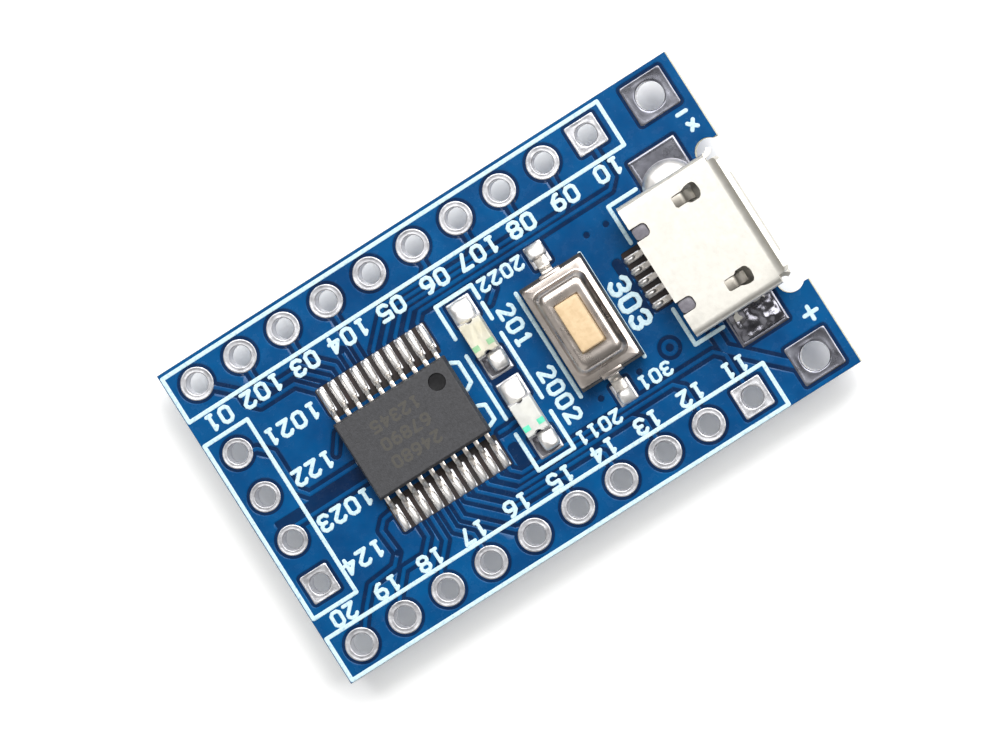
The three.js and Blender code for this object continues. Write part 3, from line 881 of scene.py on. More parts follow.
# Digits as strokes on a grid four units wide and six high.
DIGITS = {
    "0": [[(2, 0), (1, 0), (0, 1), (0, 5), (1, 6), (3, 6), (4, 5), (4, 1), (3, 0), (2, 0)]],
    "1": [[(1, 5), (2, 6), (2, 0)], [(1, 0), (3, 0)]],
    "2": [[(0, 5), (1, 6), (3, 6), (4, 5), (4, 4), (0, 0), (4, 0)]],
    "3": [[(0, 5), (1, 6), (3, 6), (4, 5), (4, 4), (3, 3), (4, 2), (4, 1), (3, 0), (1, 0), (0, 1)],
          [(1.5, 3), (3, 3)]],
    "4": [[(3, 0), (3, 6), (0, 2), (4, 2)]],
    "5": [[(4, 6), (0, 6), (0, 3.5), (3, 3.5), (4, 2.5), (4, 1), (3, 0), (1, 0), (0, 1)]],
    "6": [[(3, 6), (2, 6), (0, 4), (0, 1), (1, 0), (3, 0), (4, 1), (4, 2.5), (3, 3.5), (0, 3.5)]],
    "7": [[(0, 6), (4, 6), (1.5, 0)]],
    "8": [[(1, 3), (0, 4), (0, 5), (1, 6), (3, 6), (4, 5), (4, 4), (3, 3), (1, 3), (0, 2), (0, 1),
           (1, 0), (3, 0), (4, 1), (4, 2), (3, 3)]],
    "9": [[(1, 0), (2, 0), (4, 2), (4, 5), (3, 6), (1, 6), (0, 5), (0, 3.5), (1, 2.5), (4, 2.5)]],
}
UPSIDE_DOWN = (-1, 0)
DOWNWARDS = (0, -1)


PIN_NUMBERS = ("01", "102", "03", "104", "05", "06", "107", "08", "09", "10")
LOOSE_NUMBERS = (  # digits, middle, height, reading direction
    ("1021", -10.45, 3.4, 0.95, UPSIDE_DOWN), ("122", -10.75, 0.98, 0.95, UPSIDE_DOWN),
    ("1023", -10.5, -1.6, 0.95, UPSIDE_DOWN), ("124", -11.0, -4.05, 0.95, UPSIDE_DOWN),
    ("2022", 2.25, 4.1, 0.78, UPSIDE_DOWN), ("2011", 2.3, -4.85, 0.78, UPSIDE_DOWN),
    ("301", 6.0, -4.18, 0.78, UPSIDE_DOWN), ("201", 1.5, 1.6, 0.95, DOWNWARDS),
    ("2002", 1.55, -2.45, 0.95, DOWNWARDS), ("303", 6.87, -0.5, 1.2, DOWNWARDS, 0.8),
)


def write(text, x, y, height, along, spacing=0.84):
    """Strokes for digits centred on a place, reading along a direction."""
    half = STROKE_SHARE * height
    unit = (height - 2 * half) / 6
    up = (-along[1], along[0])
    strokes = []
    for i, digit in enumerate(text):
        start = (i - (len(text) - 1) / 2) * spacing * height - 2 * unit
        for line in DIGITS[digit]:
            spots = [(start + a * unit, (b - 3) * unit) for a, b in line]
            strokes += path([(x + a * along[0] + b * up[0], y + a * along[1] + b * up[1])
                             for a, b in spots], half)
    return strokes


def ink_frames(*frames):
    """Rectangular frames, each from its lowest to its highest corner."""
    return [bar for x0, y0, x1, y1 in frames
            for bar in path([(x0, y0), (x1, y0), (x1, y1), (x0, y1), (x0, y0)], INK_HALF)]


def top_ink():
    strokes = ink_frames((-14.75, 6.2, 10.79, 8.72), (-14.75, -8.87, 10.79, -6.47),
                         (-14.75, -5.3, -12.22, 4.8))
    lines = [
        [(-1.36, 2.6), (-1.36, 4.45), (0.72, 4.45), (0.72, 3.7)],
        [(0.72, 3.4), (0.72, 2.5)],
        [(0.72, 1.65), (0.72, -2.1)],
        [(0.72, -2.9), (0.72, -5.05), (-1.36, -5.05), (-1.36, -2.95)],
        [(-1.36, 1.6), (-1.36, -2.05)],
        [(2.36, -3.1), (2.36, 2.9)],
        [(6.07, -3.1), (6.07, 2.88)],
        [(8.49, 1.95), (8.49, 4.05), (10.1, 4.05)],
        [(8.49, -1.9), (8.49, -3.95), (10.1, -3.95)],
        [(-2.2, 1.75), (-1.85, 1.55), (-1.85, 0.4), (-2.2, 0.2)],
        [(-2.2, -0.75), (-1.85, -0.9), (-1.85, -1.75), (-2.2, -1.9)],
        [(13.75, 6.0), (14.25, 6.0)],
        [(13.95, 5.4), (14.35, 5.05)],
        [(14.3, 5.45), (14.0, 5.0)],
        [(13.74, -5.65), (14.44, -5.65)],
        [(14.09, -5.3), (14.09, -6.0)],
    ]
    for line in lines:
        strokes += path(line, INK_HALF)
    for i, text in enumerate(PIN_NUMBERS):
        strokes += write(text, header_x(i), 5.57, 0.95, UPSIDE_DOWN)
        strokes += write(str(2 * HEADER_COUNT - i), header_x(i) + 0.05, -5.92, 0.9, UPSIDE_DOWN)
    for numbers in LOOSE_NUMBERS:
        strokes += write(*numbers)
    return strokes


def chip_pads(name):
    x, y, half_x, half_y, _, _ = plan(name)
    return pair(x, y, half_y + 0.02, half_x + 0.06, 0.45)


def regulator_pads():
    pads = []
    for name in REGULATOR_LEADS:
        _, y, _, half_y, low, high = plan(name)
        foot = low.x + 0.35 if name == "regulator_tab" else high.x - 0.35
        pads.append(Patch(foot, y, 0.75, half_y + 0.12))
    return pads


def under_side():
    chips = [pad for name in CHIPS for pad in chip_pads(name)]
    routes = [
        [(7.2, 3.3), (8.8, 4.9), (10.5, 4.9), (13.1, 7.5)],
        [(5.0, 2.3), (7.2, 1.3)],
        [(-1.6, 0.0), (-3.0, 1.5), (-4.2, 1.5)],
        [(-4.2, 3.5), (-4.2, 5.2), (header_x(4), 6.0), (header_x(4), 7.0)],
        [(-6.8, 3.3), (-6.8, 4.6), (header_x(2), 6.1), (header_x(2), 7.0)],
        [(-9.2, 3.3), (-10.4, 4.5), (-12.2, 4.5), (-13.5, 3.7)],
        [(-9.2, 1.7), (-9.2, 0.5)],
        [(-4.2, -2.3), (-4.2, -1.1)],
        [(-4.2, -3.9), (-4.2, -5.4), (header_x(4), -6.3), (header_x(4), -7.0)],
        [(-6.8, -3.9), (-6.8, -5.2), (header_x(2), -6.7)],
        [(-6.8, -2.3), (-8.2, -0.9), (-13.5, -1.4)],
        [(5.0, 0.0), (6.4, -1.5), (7.2, -1.5)],
        [(7.2, -3.1), (7.2, -5.2), (header_x(8), -6.2), (header_x(8), -7.0)],
    ]
    return {
        "pads": hole_pads + chips + regulator_pads(),
        "traces": [bar for route in routes for bar in path(route, 0.15)]
        + [dot(x, y, 0.3) for x, y in VIAS],
        "voids": [],
        "pits": [dot(x, y, 0.12) for x, y in VIAS],
        "windows": [],
    }


def under_ink():
    strokes = ink_frames((-14.78, 6.35, 10.79, 8.85), (-14.78, -8.85, 10.79, -6.35),
                         (-14.76, -5.3, -12.21, 4.8))
    for name in CHIPS:
        low, high = node_box(name)
        strokes += ink_frames((low.x - 0.25, low.y - 0.6, high.x + 0.25, high.y + 0.6))
    low, high = node_box("regulator_body")
    for y in (low.y - 0.25, high.y + 0.25):
        strokes += path([(low.x, y), (high.x, y)], INK_HALF)
    return strokes


def printed_layers():
    above, below = top_side(), under_side()
    layers = [
        ("mask_top", mask_layer(above), [mask_on_copper, mask_on_laminate], "solder_mask", 1),
        ("mask_underside", mask_layer(below), [mask_on_copper, mask_on_laminate],
         "solder_mask", -1),
        ("ink_top", ink_layer(top_ink()), [ink], "solder_mask", 1),
        ("ink_underside", ink_layer(under_ink()), [ink], "solder_mask", -1),
        ("pads_top", tin_layer(top_pads()), [tin], "tinned_metal", 1),
        ("socket_pads", tin_layer(socket_pads()), [flat_tin], "tinned_metal", 1),
        ("pads_underside", tin_layer(below["pads"][len(hole_pads):]), [tin], "tinned_metal", -1),
    ]
    for name, mesh, finishes, slot, side in layers:
        mesh.transform(Matrix.Translation((0, 0, TOP if side > 0 else UNDER))
                       @ Matrix.Diagonal((1, 1, side, 1)))
        if side < 0:
            mesh.flip_normals()
        show(mesh, name, finishes)


# Tin on a ring round a hole: its height at shares of the way from the outer to the inner edge.
RING_PROFILE = ((0, 0), (0.01, 0.03), (0.06, 0.046), (0.16, 0.052), (0.3, 0.046), (0.5, 0.04),
                (0.7, 0.042), (0.84, 0.047), (0.92, 0.044), (0.97, 0.03), (1.0, 0.0))


def plated_hole(place):
    """Tinned pads on both faces, joined through the hole, with round inner edges."""
    x, y, radius, half_x, half_y, square = place
    outer = rounded(half_x, half_y, 0.1 if square else half_x, x, y, corner=9)
    inner = disc(radius, x, y)

    def ring(share, rise, face):
        points = []
        for a, b in zip(outer, inner):
            px, py = a[0] + (b[0] - a[0]) * share, a[1] + (b[1] - a[1]) * share
            swell = 1 + 0.3 * lump(px, py, 1.7, 3.0 + face)
            z = TOP + rise * swell if face > 0 else UNDER - rise * swell
            points.append((px, py, z))
        return points

    rings = [ring(share, rise, 1) for share, rise in RING_PROFILE]
    rings += [[(px, py, z) for px, py, _ in inner] for z in (TOP - 0.05, UNDER + 0.05)]
    rings += [ring(share, rise, -1) for share, rise in reversed(RING_PROFILE)]
    rings = [[(px, py, TOP - 0.02) for px, py, _ in outer]] + rings
    wall = [disc(radius + 0.03, x, y, z) for z in (UNDER + 0.02, TOP - 0.02)]
    rings.append([(px, py, UNDER + 0.02) for px, py, _ in outer])
    return loft(rings + wall, closed=True)


def plated_holes():
    for name, row in HOLES.items():
        finish = flat_tin if name == "power_pads" else tin
        made = piece(f"plated_{name}", [plated_hole(place) for place in row], finish,
                     sharp=60)
        # Upright faces inside the holes get the lighter copy of the tin, a painted reflection.
        made.data.materials.append(lit_hole_wall)
        for face in made.data.polygons:
            if abs(face.normal.z) < 0.1 and UNDER < face.center.z / MM < TOP:
                face.material_index = 1


# ---- The controller ----


def controller_moulding():
    """A moulded block, widest at its seam, with a polished round dimple beside pin one."""
    low, high = mcu_low.z, mcu_high.z
    middle = (low + high) / 2
    draft, seam, edge = 0.1, 0.08, 0.045
    levels = ((low, draft + edge), (low + edge, draft), (middle - seam, 0), (middle + seam, 0),
              (high - edge, draft - 0.005), (high - edge * 0.3, draft + edge * 0.3),
              (high, draft + edge))
    body = loft([rounded(MCU_HALF_X - inset, MCU_HALF_Y - inset, 0.06, MCU_X, MCU_Y, z)
                 for z, inset in levels])
    dimple_x, dimple_y = MCU_X + MCU_HALF_X - 0.95, MCU_Y + MCU_HALF_Y - 0.95
    bowl = ((0.3, -0.085), (0.4, -0.08), (0.445, -0.05), (0.455, 0.2))  # radius and height
    dimple = loft([disc(radius, dimple_x, dimple_y, high + z) for radius, z in bowl])
    mesh = carved("controller_body_moulding", [body], [dimple])
    for finish in (epoxy, polished_epoxy):
        mesh.materials.append(finish)
    for face in mesh.polygons:
        away = math.hypot(face.center.x - dimple_x, face.center.y - dimple_y)
        if away < 0.46 and high - 0.1 < face.center.z < high - 0.001:
            face.material_index = 1
    show(mesh, "controller_moulding", [], stands_for=["controller_body"])


def controller_marking():
    """Three lines of laser-marked digits."""
    strokes = []
    for i, text in enumerate(("12345", "67890", "24680")):
        strokes += write(text, MCU_X - 0.3, MCU_Y + 1.0 - i, 0.68, UPSIDE_DOWN)
    etched = relief([("mark", stroke.outline(0)) for stroke in strokes], bool,
                    lambda places: np.full(len(places), 0.002))
    etched.transform(Matrix.Translation((0, 0, mcu_high.z)))
    show(etched, "controller_marking", [laser_marking])


def controller_lead(i):
    """A lead bent down to its pad, and the solder over its foot."""
    node = f"controller_lead_{i:02d}"
    x, _, _, _, low, high = plan(node)
    side = 1 if low.y > MCU_Y else -1
    reach = (high.y if side > 0 else -low.y) - side * MCU_Y
    shoulder = high.z - TOP - 0.07
    strip = bent_strip([(MCU_HALF_Y - 0.15, shoulder), (reach - 0.72, shoulder),
                        (reach - 0.34, FOOT_RISE), (reach, FOOT_RISE)], 0.13, 0.25, 0.14, 0.04)
    piece(f"controller_pin_{i:02d}", [moved(strip, x, MCU_Y, TOP, side * math.pi / 2)],
          lead_metal, stands_for=[node])
    middle, half = (3.44, 0.7) if side > 0 else (3.62, 0.52)  # along the foot
    solder_piece(f"controller_solder_{i:02d}",
                 mound(x, MCU_Y + side * middle, 0.195, half, (0.23, 0, -0.05 * side), 0.7, 0.02,
                       i * 1.7, 12, 0.55))


def controller_tie_bars():
    """Cut ends of the lead frame, flush with both ends of the moulding."""
    stub = bent_strip([(MCU_HALF_X - 0.2, 0), (MCU_HALF_X + 0.015, 0)], 0.01, 0.24, 0.12, 0.02)
    middle = (mcu_low.z + mcu_high.z) / 2
    piece("controller_tie_bars", [moved(stub, MCU_X, MCU_Y, middle, turn)
                                  for turn in (0, math.pi)], lead_metal)


# ---- The USB socket ----

USB_REAR = node_box("usb_insulator")[0].x - 0.04
FLARE = 0.44  # how far the flared mouth reaches along the board
FLARE_START = node_box("usb_shell")[1].x - FLARE
FLARE_BEND = math.radians(72)
SHEET = 0.26
ROOF = 2.45  # inside of the shell's roof, above the board
LATCH_X, LATCH_Y = 11.42, 2.4
POST_Y = 2.1
WING_X = 11.72
SIDE_POINTS = 14  # of the section: seven round each corner, then seven along the next side
# The flaps round the mouth: the corner before each, the way it bends (across the board and
# up), and how strongly it leans forwards and outwards.
FLAPS = ((0, 0, -1, 1.0, 0.8), (2, 1, 0, 0.7, 0.55), (3, 0, 1, 1.0, 1.0),
         (5, -1, 0, 0.7, 0.55))
# Half of a keyhole from its latch's root: a slot that opens into a rounded eye.
KEYHOLE = ((0, -0.31), (0.7, -0.31), (0.7, -0.44), (1.3, -0.44), (1.46, -0.1), (1.38, 0.4),
           (1.2, 0.48), (0.78, 0.42), (0.7, 0.33), (0, 0.31))


def socket_section():
    """The socket's outline across the board, with many points along its straight sides."""
    half = node_box("usb_insulator")[1].y + 0.28
    corner = 0.42
    spots = [Vector(spot) for spot in ((-2.8, 0), (2.8, 0), (half, 1.05), (half, ROOF),
                                       (-half, ROOF), (-half, 1.05))]
    points = []
    for i, here in enumerate(spots):
        after = spots[(i + 1) % len(spots)]
        points += curve(spots[i - 1], here, after, corner, 6)
        start, end = points[-1], after + (here - after).normalized() * corner
        points += [start.lerp(end, k / 8) for k in range(1, 8)]
    return points


def shell_surface():
    """The inside of the socket's shell and of the four flaps flared round its mouth."""
    section = socket_section()
    count, stations, steps = len(section), 6, 7
    rows = [USB_REAR + (FLARE_START - USB_REAR) * k / stations for k in range(stations + 1)]
    points = [(x, p.x, TOP + p.y) for x in rows for p in section]
    faces = []
    for a in range(0, stations * count, count):
        for i in range(count):
            j = (i + 1) % count
            faces.append((a + j, a + i, a + count + i, a + count + j))
    radius = FLARE / math.sin(FLARE_BEND)
    for side, out_y, out_z, lean, spread in FLAPS:
        ring = [(side * SIDE_POINTS + 6 + k) % count for k in range(9)]
        middle = (section[ring[0]] + section[ring[-1]]) / 2
        previous = [stations * count + k for k in ring]
        for step in range(1, steps + 1):
            angle = FLARE_BEND * step / steps
            forward = FLARE_START + radius * math.sin(angle) * lean
            rise = radius * (1 - math.cos(angle)) * spread
            narrow = 1 - 0.07 * max(0.0, (step - 4) / 3) ** 2
            row = list(range(len(points), len(points) + len(ring)))
            for k in ring:
                p = middle + (section[k] - middle) * narrow
                points.append((forward, p.x + out_y * rise, TOP + p.y + out_z * rise))
            faces += [(previous[k + 1], previous[k], row[k], row[k + 1]) for k in range(8)]
            previous = row
    return points, faces


def thickened(surface, thickness):
    """A shell of sheet metal laid on the outside of a bare surface."""
    points, faces = surface
    work = placed("shell", bpy.data.meshes.new("shell"))
    work.data.from_pydata(points, [], faces)
    wall = work.modifiers.new("wall", "SOLIDIFY")
    wall.thickness = thickness
    wall.offset = 1
    wall.use_even_offset = True
    solid = finished_mesh(work)
    return [tuple(v.co) for v in solid.vertices], [tuple(f.vertices) for f in solid.polygons]


def roof_cutter(outline):
    return loft([[(x, y, z) for x, y in outline] for z in (TOP + 2.1, TOP + 2.9)])


def keyhole(side):
    """The opening in the roof for one latch spring, with its corners cut off."""
    spots = [Vector((LATCH_X + x, y)) for x, y in KEYHOLE]
    soft = []
    for i, here in enumerate(spots):
        for other in (spots[i - 1], spots[(i + 1) % len(spots)]):
            soft.append(here + (other - here) * min(0.45, 0.09 / (other - here).length))
    return roof_cutter([(p.x, side * (LATCH_Y + p.y)) for p in soft][::side])


def rear_notch(side):
    """The rounded notch in the roof's rear edge, round one post of the insulator."""
    return roof_cutter([p[:2] for p in rounded(0.86, 0.36, 0.26, USB_REAR, side * POST_Y)])


def rear_post(side):
    levels = ((2.1, 0.0), (2.27, 0.0), (2.3, 0.03))  # height and inset
    return loft([rounded(0.39 - inset, 0.33 - inset, 0.2, USB_REAR + 0.43, side * POST_Y,
                         TOP + z) for z, inset in levels])


def usb_shell():
    floor_notch = soft_box((USB_REAR - 1, -1.75, TOP - 0.5), (USB_REAR + 1.2, 1.75, TOP + 0.6),
                           0.1)
    cutters = [keyhole(1), keyhole(-1), rear_notch(1), rear_notch(-1), floor_notch]
    mesh = carved("shell", [thickened(shell_surface(), SHEET)], cutters, bevel=0.035)
    show(mesh, "usb_shell_pressing", [shell_metal], stands_for=["usb_shell"])
    leaf = bent_strip([(-0.06, 2.35), (0.52, 2.3), (0.8, 2.0), (1.0, 1.3)], 0.15, 0.58, 0.12,
                      0.03)
    wing = bent_strip([(2.9, 0.15), (4.15, 0.15)], 0.05, 1.9, 0.24, 0.06)
    sides = (1, -1)
    piece("usb_latch_springs", [moved(leaf, LATCH_X, side * LATCH_Y, TOP) for side in sides],
          shaded_latch_metal)
    piece("usb_rear_posts", [rear_post(side) for side in sides], grey_plastic)
    piece("usb_side_wings", [moved(wing, WING_X, 0, TOP, side * math.pi / 2) for side in sides],
          shell_metal)


def usb_solder():
    bright = mound(USB_PAD_X - 0.12, 3.48, 1.34, 1.14, (0.7, 0, 0), 1.0, 0.05, 2.0, 28, 0.42)
    rough = mound(USB_PAD_X, -4.35, 1.26, 0.84, (0.26, 0, 0.12), 0.1, 0.14, 7.0, 34, 0.3)
    solder_piece("usb_bright_solder", bright, sharp=70)
    # The -Y pad's lumpy solder is given the darker copy of the solder, as painted shade.
    solder_piece("usb_rough_solder", rough, shaded_solder, sharp=70)
    for i, (x, y) in enumerate(contact_places(), 1):
        tip = mound(x + 0.16, y, 0.34, 0.15, (0.24, 0.06, 0), 0.7, 0.03, i * 2.3, 12, 0.55)
        solder_piece(f"usb_contact_solder_{i}", tip, lift=0.02)


# ---- The push button ----

# Rings of the steel cover, from its lower edge over the raised middle to the opening's inside:
# half length along X, half width along Y, corner radius, height.
COVER = (
    (1.725, 2.80, 0.15, 1.20), (1.725, 2.80, 0.15, 1.29), (1.70, 2.775, 0.15, 1.335),
    (1.66, 2.735, 0.16, 1.35), (1.635, 2.70, 0.18, 1.351), (1.485, 2.44, 0.42, 1.354),
    (1.46, 2.40, 0.45, 1.357), (1.42, 2.35, 0.46, 1.38), (1.39, 2.32, 0.46, 1.44),
    (1.27, 2.18, 0.42, 1.70), (1.23, 2.13, 0.40, 1.77), (1.17, 2.06, 0.36, 1.83),
    (1.10, 1.97, 0.31, 1.875), (1.02, 1.86, 0.25, 1.905), (0.94, 1.74, 0.20, 1.915),
    (0.88, 1.64, 0.16, 1.91), (0.76, 1.47, 0.1, 1.905), (0.70, 1.38, 0.06, 1.90),
    (0.72, 1.365, 0.05, 1.80), (1.0, 1.84, 0.22, 1.76), (1.28, 2.2, 0.4, 1.25),
    (1.32, 2.24, 0.4, 1.20),
)
COVER_FOLD = 1.44  # from the middle to where the flange starts to droop
CAP = (
    (0.5, 0.5, 0.5, 0.84), (0.5, 0.5, 0.5, 1.51), (0.85, 1.55, 0.1, 1.51),
    (0.85, 1.55, 0.1, 1.72), (0.65, 1.325, 0.14, 1.72), (0.65, 1.325, 0.14, 2.38),
    (0.64, 1.315, 0.14, 2.44), (0.61, 1.285, 0.14, 2.48), (0.56, 1.235, 0.13, 2.50),
    (0.3, 0.9, 0.1, 2.502),
)
WELL = 0.4  # height of the dome's seat above the board


def button_rings(rows, droop=0.0):
    """Rings round the button's middle; droop is their fall for each mm beyond the fold."""
    return [[(x, y, z - droop * max(abs(x - BUTTON_X) - COVER_FOLD, 0))
             for x, y, z in rounded(half_x, half_y, radius, BUTTON_X, BUTTON_Y, TOP + height,
                                    corner=8)]
            for half_x, half_y, radius, height in rows]


def button_cover():
    """The pressed cover, whose flange droops but for its flat lower edge, and its end tabs."""
    cover = loft(button_rings(COVER[:1]) + button_rings(COVER[1:], 0.2), closed=True)
    tab = bent_strip([(2.6, 1.27), (2.93, 1.27), (2.95, 0.5)], 0.12, 1.15, 0.12, 0.035)
    tabs = [moved(tab, BUTTON_X, BUTTON_Y, TOP, side * math.pi / 2) for side in (1, -1)]
    piece("button_cover_pressing", [cover, *tabs], cover_metal,
          stands_for=["button_cover"], sharp=50)


def button_cap():
    piece("button_cap", [loft(button_rings(CAP))], actuator_plastic,
          body="button", stands_for=["button_actuator"], sharp=50)


def button_dome():
    """The domed spring under the cap."""
    rise, reach, sheet, centre = 0.4, 1.15, 0.06, 0.02
    shares = [k / 10 for k in range(11)]
    heights = [WELL + rise * (1 - (1 - s) ** 2) for s in shares]
    under = [(max((reach - sheet) * (1 - s), centre), z - sheet * s)
             for s, z in zip(shares, heights)]
    upper = [(max(reach * (1 - s), centre), z) for s, z in zip(shares, heights)]
    rings = button_rings([(r, r, r, z) for r, z in under[::-1] + upper])
    dome = piece("button_snap_dome", [loft(rings)], spring_metal,
                 stands_for=["button_dome"], sharp=60)
    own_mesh(dome)


def button_leg(i, side):
    """One bent leg, and its solder: broader and more sloping on the +Y side."""
    strip = bent_strip([(2.7, 0.34), (3.1, 0.34), (3.28, FOOT_RISE), (3.88, FOOT_RISE)], 0.12,
                       0.62, 0.15, 0.04)
    piece(f"button_leg_{i}", [moved(strip, BUTTON_LEG_X, BUTTON_Y, TOP, side * math.pi / 2)],
          lead_metal, stands_for=[f"button_terminal_{i}"])
    half_x, slope = (0.5, -0.12) if side > 0 else (0.42, 0.04)
    solder_piece(f"button_solder_{i}",
                 mound(BUTTON_LEG_X, BUTTON_Y + side * 4.18, half_x, 0.42, (0.3, -0.14, slope),
                       0.5, 0.05, 11.0 * i, 20, 0.5))


# ---- Lamps ----


def lamp(name, seed, resin_finish, marking):
    """A clear block over a die and two marks, with a heap of solder at one end."""
    x, y, half_x, half_y, low, high = plan(f"{name}_lens")
    levels = ((low.z, 0.0), (low.z + 0.2, 0.012), (high.z - 0.07, 0.035),
              (high.z - 0.02, 0.055), (high.z, 0.1))
    resin = loft([rounded(half_x - inset, half_y - inset, 0.05, x, y, z) for z, inset in levels])
    notches = [loft([rounded(0.24, 0.24, 0.24, x, y + side * (half_y + 0.07), z)
                     for z in (low.z - 1, high.z + 1)]) for side in (1, -1)]
    show(carved(f"{name}_resin", [resin], notches), f"{name}_moulding", [resin_finish],
         stands_for=[f"{name}_lens"])
    die = soft_box((x - 0.06, y - 0.1, high.z - 0.14), (x + 0.06, y + 0.02, high.z - 0.015), 0.02)
    piece(f"{name}_die", [die], die_finish)
    marks = [soft_box((x + across - 0.18, y - 0.62, high.z - 0.05),
                      (x + across + 0.18, y - 0.32, high.z + 0.004), 0.01)
             for across in (-0.38, 0.42)]
    piece(f"{name}_marking", marks, marking)
    heap = mound(x - 0.03, y + 1.47, 0.6, 0.63, (0.4, -0.1, -0.16), 0.4, 0.06, seed, 22, 0.3)
    fillet = mound(x + 0.19, y - 1.42, 0.46, 0.54, (0.38, -0.1, -0.05), 0.4, 0.06, seed + 7.0,
                   22, 0.3)
    # The low skirt at the -Y end is in the darker copy of the solder, as painted shade round the
    # lower pad.
    skirt = mound(x, y - 1.5, 0.6, 0.58, (0.1, 0, 0), 0.3, 0.02, seed + 3.0, 16, 0.5)
    solder_piece(f"{name}_solder_1", heap)
    solder_piece(f"{name}_solder_2", fillet)
    solder_piece(f"{name}_solder_3", skirt, shaded_solder)


# ---- Under the board ----


def regulator():
    """A moulded block with a broad tab at one end and three leads at the other."""
    x, y, half_x, half_y, low, high = plan("regulator_body")
    middle = (low.z + high.z) / 2
    levels = ((low.z, 0.18), (low.z + 0.02, 0.145), (low.z + 0.06, 0.115), (middle - 0.16, 0),
              (middle + 0.16, 0), (high.z - 0.05, 0.12), (high.z, 0.17))
    body = loft([rounded(half_x - inset, half_y - inset, 0.12, x, y, z) for z, inset in levels])
    piece("regulator_moulding", [body], epoxy, stands_for=["regulator_body"], sharp=50)
    for name in REGULATOR_LEADS:
        regulator_lead(name, x, half_x - 0.2, UNDER - middle)


def regulator_lead(name, x, root, shoulder):
    """The tab or one lead, bent from the block to the board, and its solder."""
    _, y, _, half, low, high = plan(name)
    side = -1 if name == "regulator_tab" else 1
    reach = high.x - x if side > 0 else x - low.x
    strip = bent_strip([(root, shoulder), (reach - 0.8, shoulder), (reach - 0.7, 0.16),
                        (reach, 0.16)], 0.22, half * 2, 0.26, 0.06)
    lead = moved(strip, x, y, 0, 0 if side > 0 else math.pi)
    piece(name.replace("regulator", "regulator_bent"), [upside_down(lead)], lead_metal,
          stands_for=[name])
    foot = mound(x + side * (reach - 0.32), y, 0.7, half + 0.08, (0.2, 0, 0), 0.3, 0.05, y, 14,
                 0.3)
    piece(name.replace("regulator", "regulator_solder"), [upside_down(foot)], solder)


def chip(name):
    """A capacitor, or a resistor with a glazed face, between two metal ends."""
    x, y, half_x, half_y, low, _ = plan(name)
    height = UNDER - low.z
    cap = 0.2 + 0.12 * half_y  # length of the metal ends
    resistor = "resistor" in name

    def block(inset_x, inset_y, bottom, top, edge):
        return upside_down(soft_box((x - half_x + inset_x, y - half_y + inset_y, bottom),
                                    (x + half_x - inset_x, y + half_y - inset_y, top), edge))

    piece(f"{name}_core", [block(0.02, 0.05, 0.03, height - 0.03, 0.03)],
          alumina if resistor else ceramic,
          stands_for=[name])
    if resistor:
        piece(f"{name}_glaze", [block(0.05, cap, height - 0.06, height + 0.005, 0.02)], glaze)
    ends, feet = [], []
    for side in (1, -1):
        edge = y + side * half_y
        span = sorted((edge, edge - side * cap))
        ends.append(soft_box((x - half_x, span[0], 0.01), (x + half_x, span[1], height), 0.06))
        feet.append(mound(x, edge + side * 0.08, half_x + 0.02, 0.36,
                          (height * 0.42, 0, -height * 0.3 * side), 0.3, 0.04, x + side, 14, 0.4))
    piece(f"{name}_ends", [upside_down(end) for end in ends], tin)
    piece(f"{name}_solder", [upside_down(foot) for foot in feet], solder)


# ---- CAD nodes that keep their shape ----


def dress_cad_nodes():
    worn = {"circuit_board": laminate, "usb_insulator": black_plastic,
            "button_base": black_plastic}
    for name in LAMPS:
        worn[f"{name}_base"] = led_laminate
        for i in (1, 2):
            worn[f"{name}_terminal_{i}"] = tin
    for i in range(1, 6):
        worn[f"usb_contact_{i}"] = lead_metal
    for node, finish in worn.items():
        mesh = frame["nodes"][node].data
        mesh.materials.clear()
        mesh.materials.append(finish)


# ---- Floor, light and camera ----

SOFT_GLOW = 0.14  # light from all round, and from the table itself


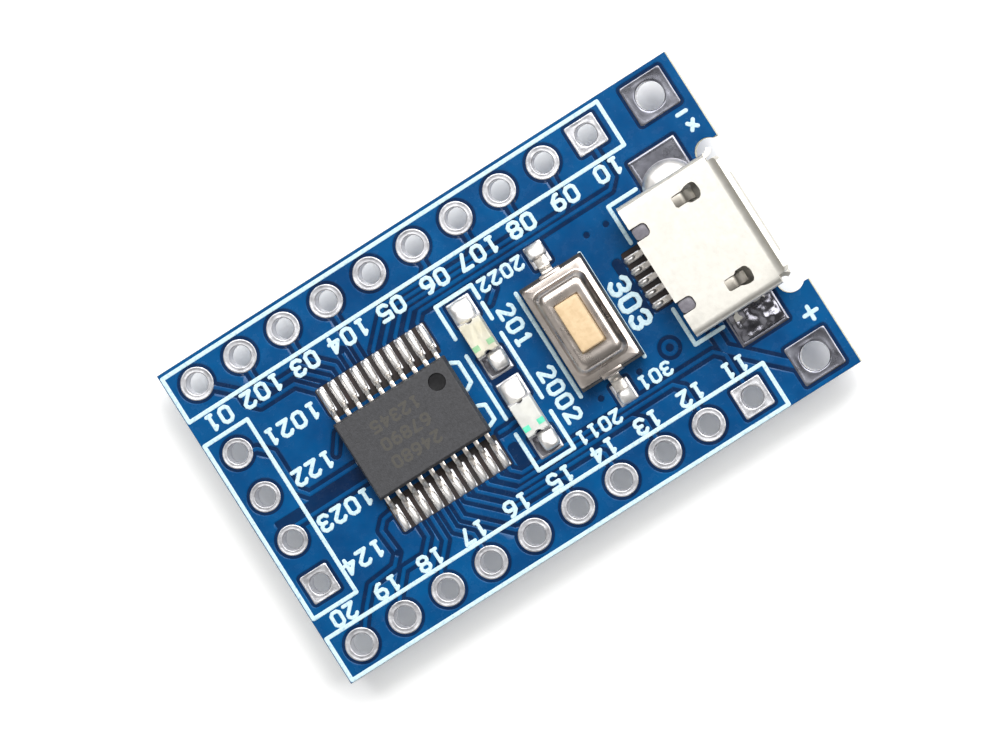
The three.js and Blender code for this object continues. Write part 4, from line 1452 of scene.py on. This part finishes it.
def floor():
    made = Finish("floor")
    made.paint(made.ramp(made.noise(0.03), (0.3, "#f6f6f6"), (0.7, "#fafafa")))
    for socket, value in (("Roughness", 0.8), ("Emission Color", (1, 1, 1, 1)),
                          ("Emission Strength", SOFT_GLOW)):
        made.shader.inputs[socket].default_value = value
    size = 1.5
    mesh = bpy.data.meshes.new("floor")
    mesh.from_pydata([(-size, -size, 0), (size, -size, 0), (size, size, 0), (-size, size, 0)],
                     [], [(0, 1, 2, 3)])
    mesh.materials.append(made.material)
    placed("floor", mesh)


def aimed(position, target, up):
    """The placing that looks from a position at a target, both in metres."""
    back = (Vector(position) - Vector(target)).normalized()
    right = Vector(up).cross(back).normalized()
    turn = Matrix((right, back.cross(right), back)).transposed().to_4x4()
    return Matrix.Translation(position) @ turn


def softbox(name, position, size, power):
    light = bpy.data.lights.new(name, "AREA")
    light.shape = "RECTANGLE"
    light.size, light.size_y = size
    light.energy = power
    placed(name, light).matrix_world = aimed(position, (0, 0, 0), (0, 1, 0.01))


def studio():
    scene = bpy.context.scene
    scene.view_settings.view_transform = "Standard"
    world = bpy.data.worlds.new("studio")
    world.use_nodes = True
    background = world.node_tree.nodes["Background"]
    background.inputs["Color"].default_value = (1, 1, 1, 1)
    background.inputs["Strength"].default_value = SOFT_GLOW
    scene.world = world
    softbox("right_softbox", (0.24, 0.04, 0.38), (0.3, 0.32), 1.35)
    softbox("upper_softbox", (0.04, 0.24, 0.38), (0.34, 0.28), 1.5)
    softbox("corner_softbox", (0.24, 0.22, 0.36), (0.2, 0.2), 0.65)
    softbox("fill_softbox", (-0.36, -0.2, 0.28), (0.6, 0.6), 0.6)


def camera():
    data = bpy.data.cameras.new("camera")
    data.lens = 208.9
    data.sensor_width = 36
    data.clip_start = 0.01
    position = (0.0261, -0.0054, 0.2877)
    target = (-0.00045, -0.00006, TOP * MM)
    turn = math.radians(32.5)  # how far the board lies turned in the picture
    made = placed("camera", data)
    made.matrix_world = aimed(position, target, (math.sin(turn), math.cos(turn), 0))
    bpy.context.scene.camera = made


dress_cad_nodes()
printed_layers()
plated_holes()
controller_moulding()
controller_marking()
for lead in range(1, 2 * LEADS_PER_SIDE + 1):
    controller_lead(lead)
controller_tie_bars()
usb_shell()
usb_solder()
button_cover()
button_cap()
button_dome()
button_leg(1, 1)
button_leg(2, -1)
lamp("power_led", 20.0, cream_resin, pale_marking)
lamp("test_led", 29.0, clear_resin, green_marking)
regulator()
for chip_name in CHIPS:
    chip(chip_name)
floor()
studio()
camera()
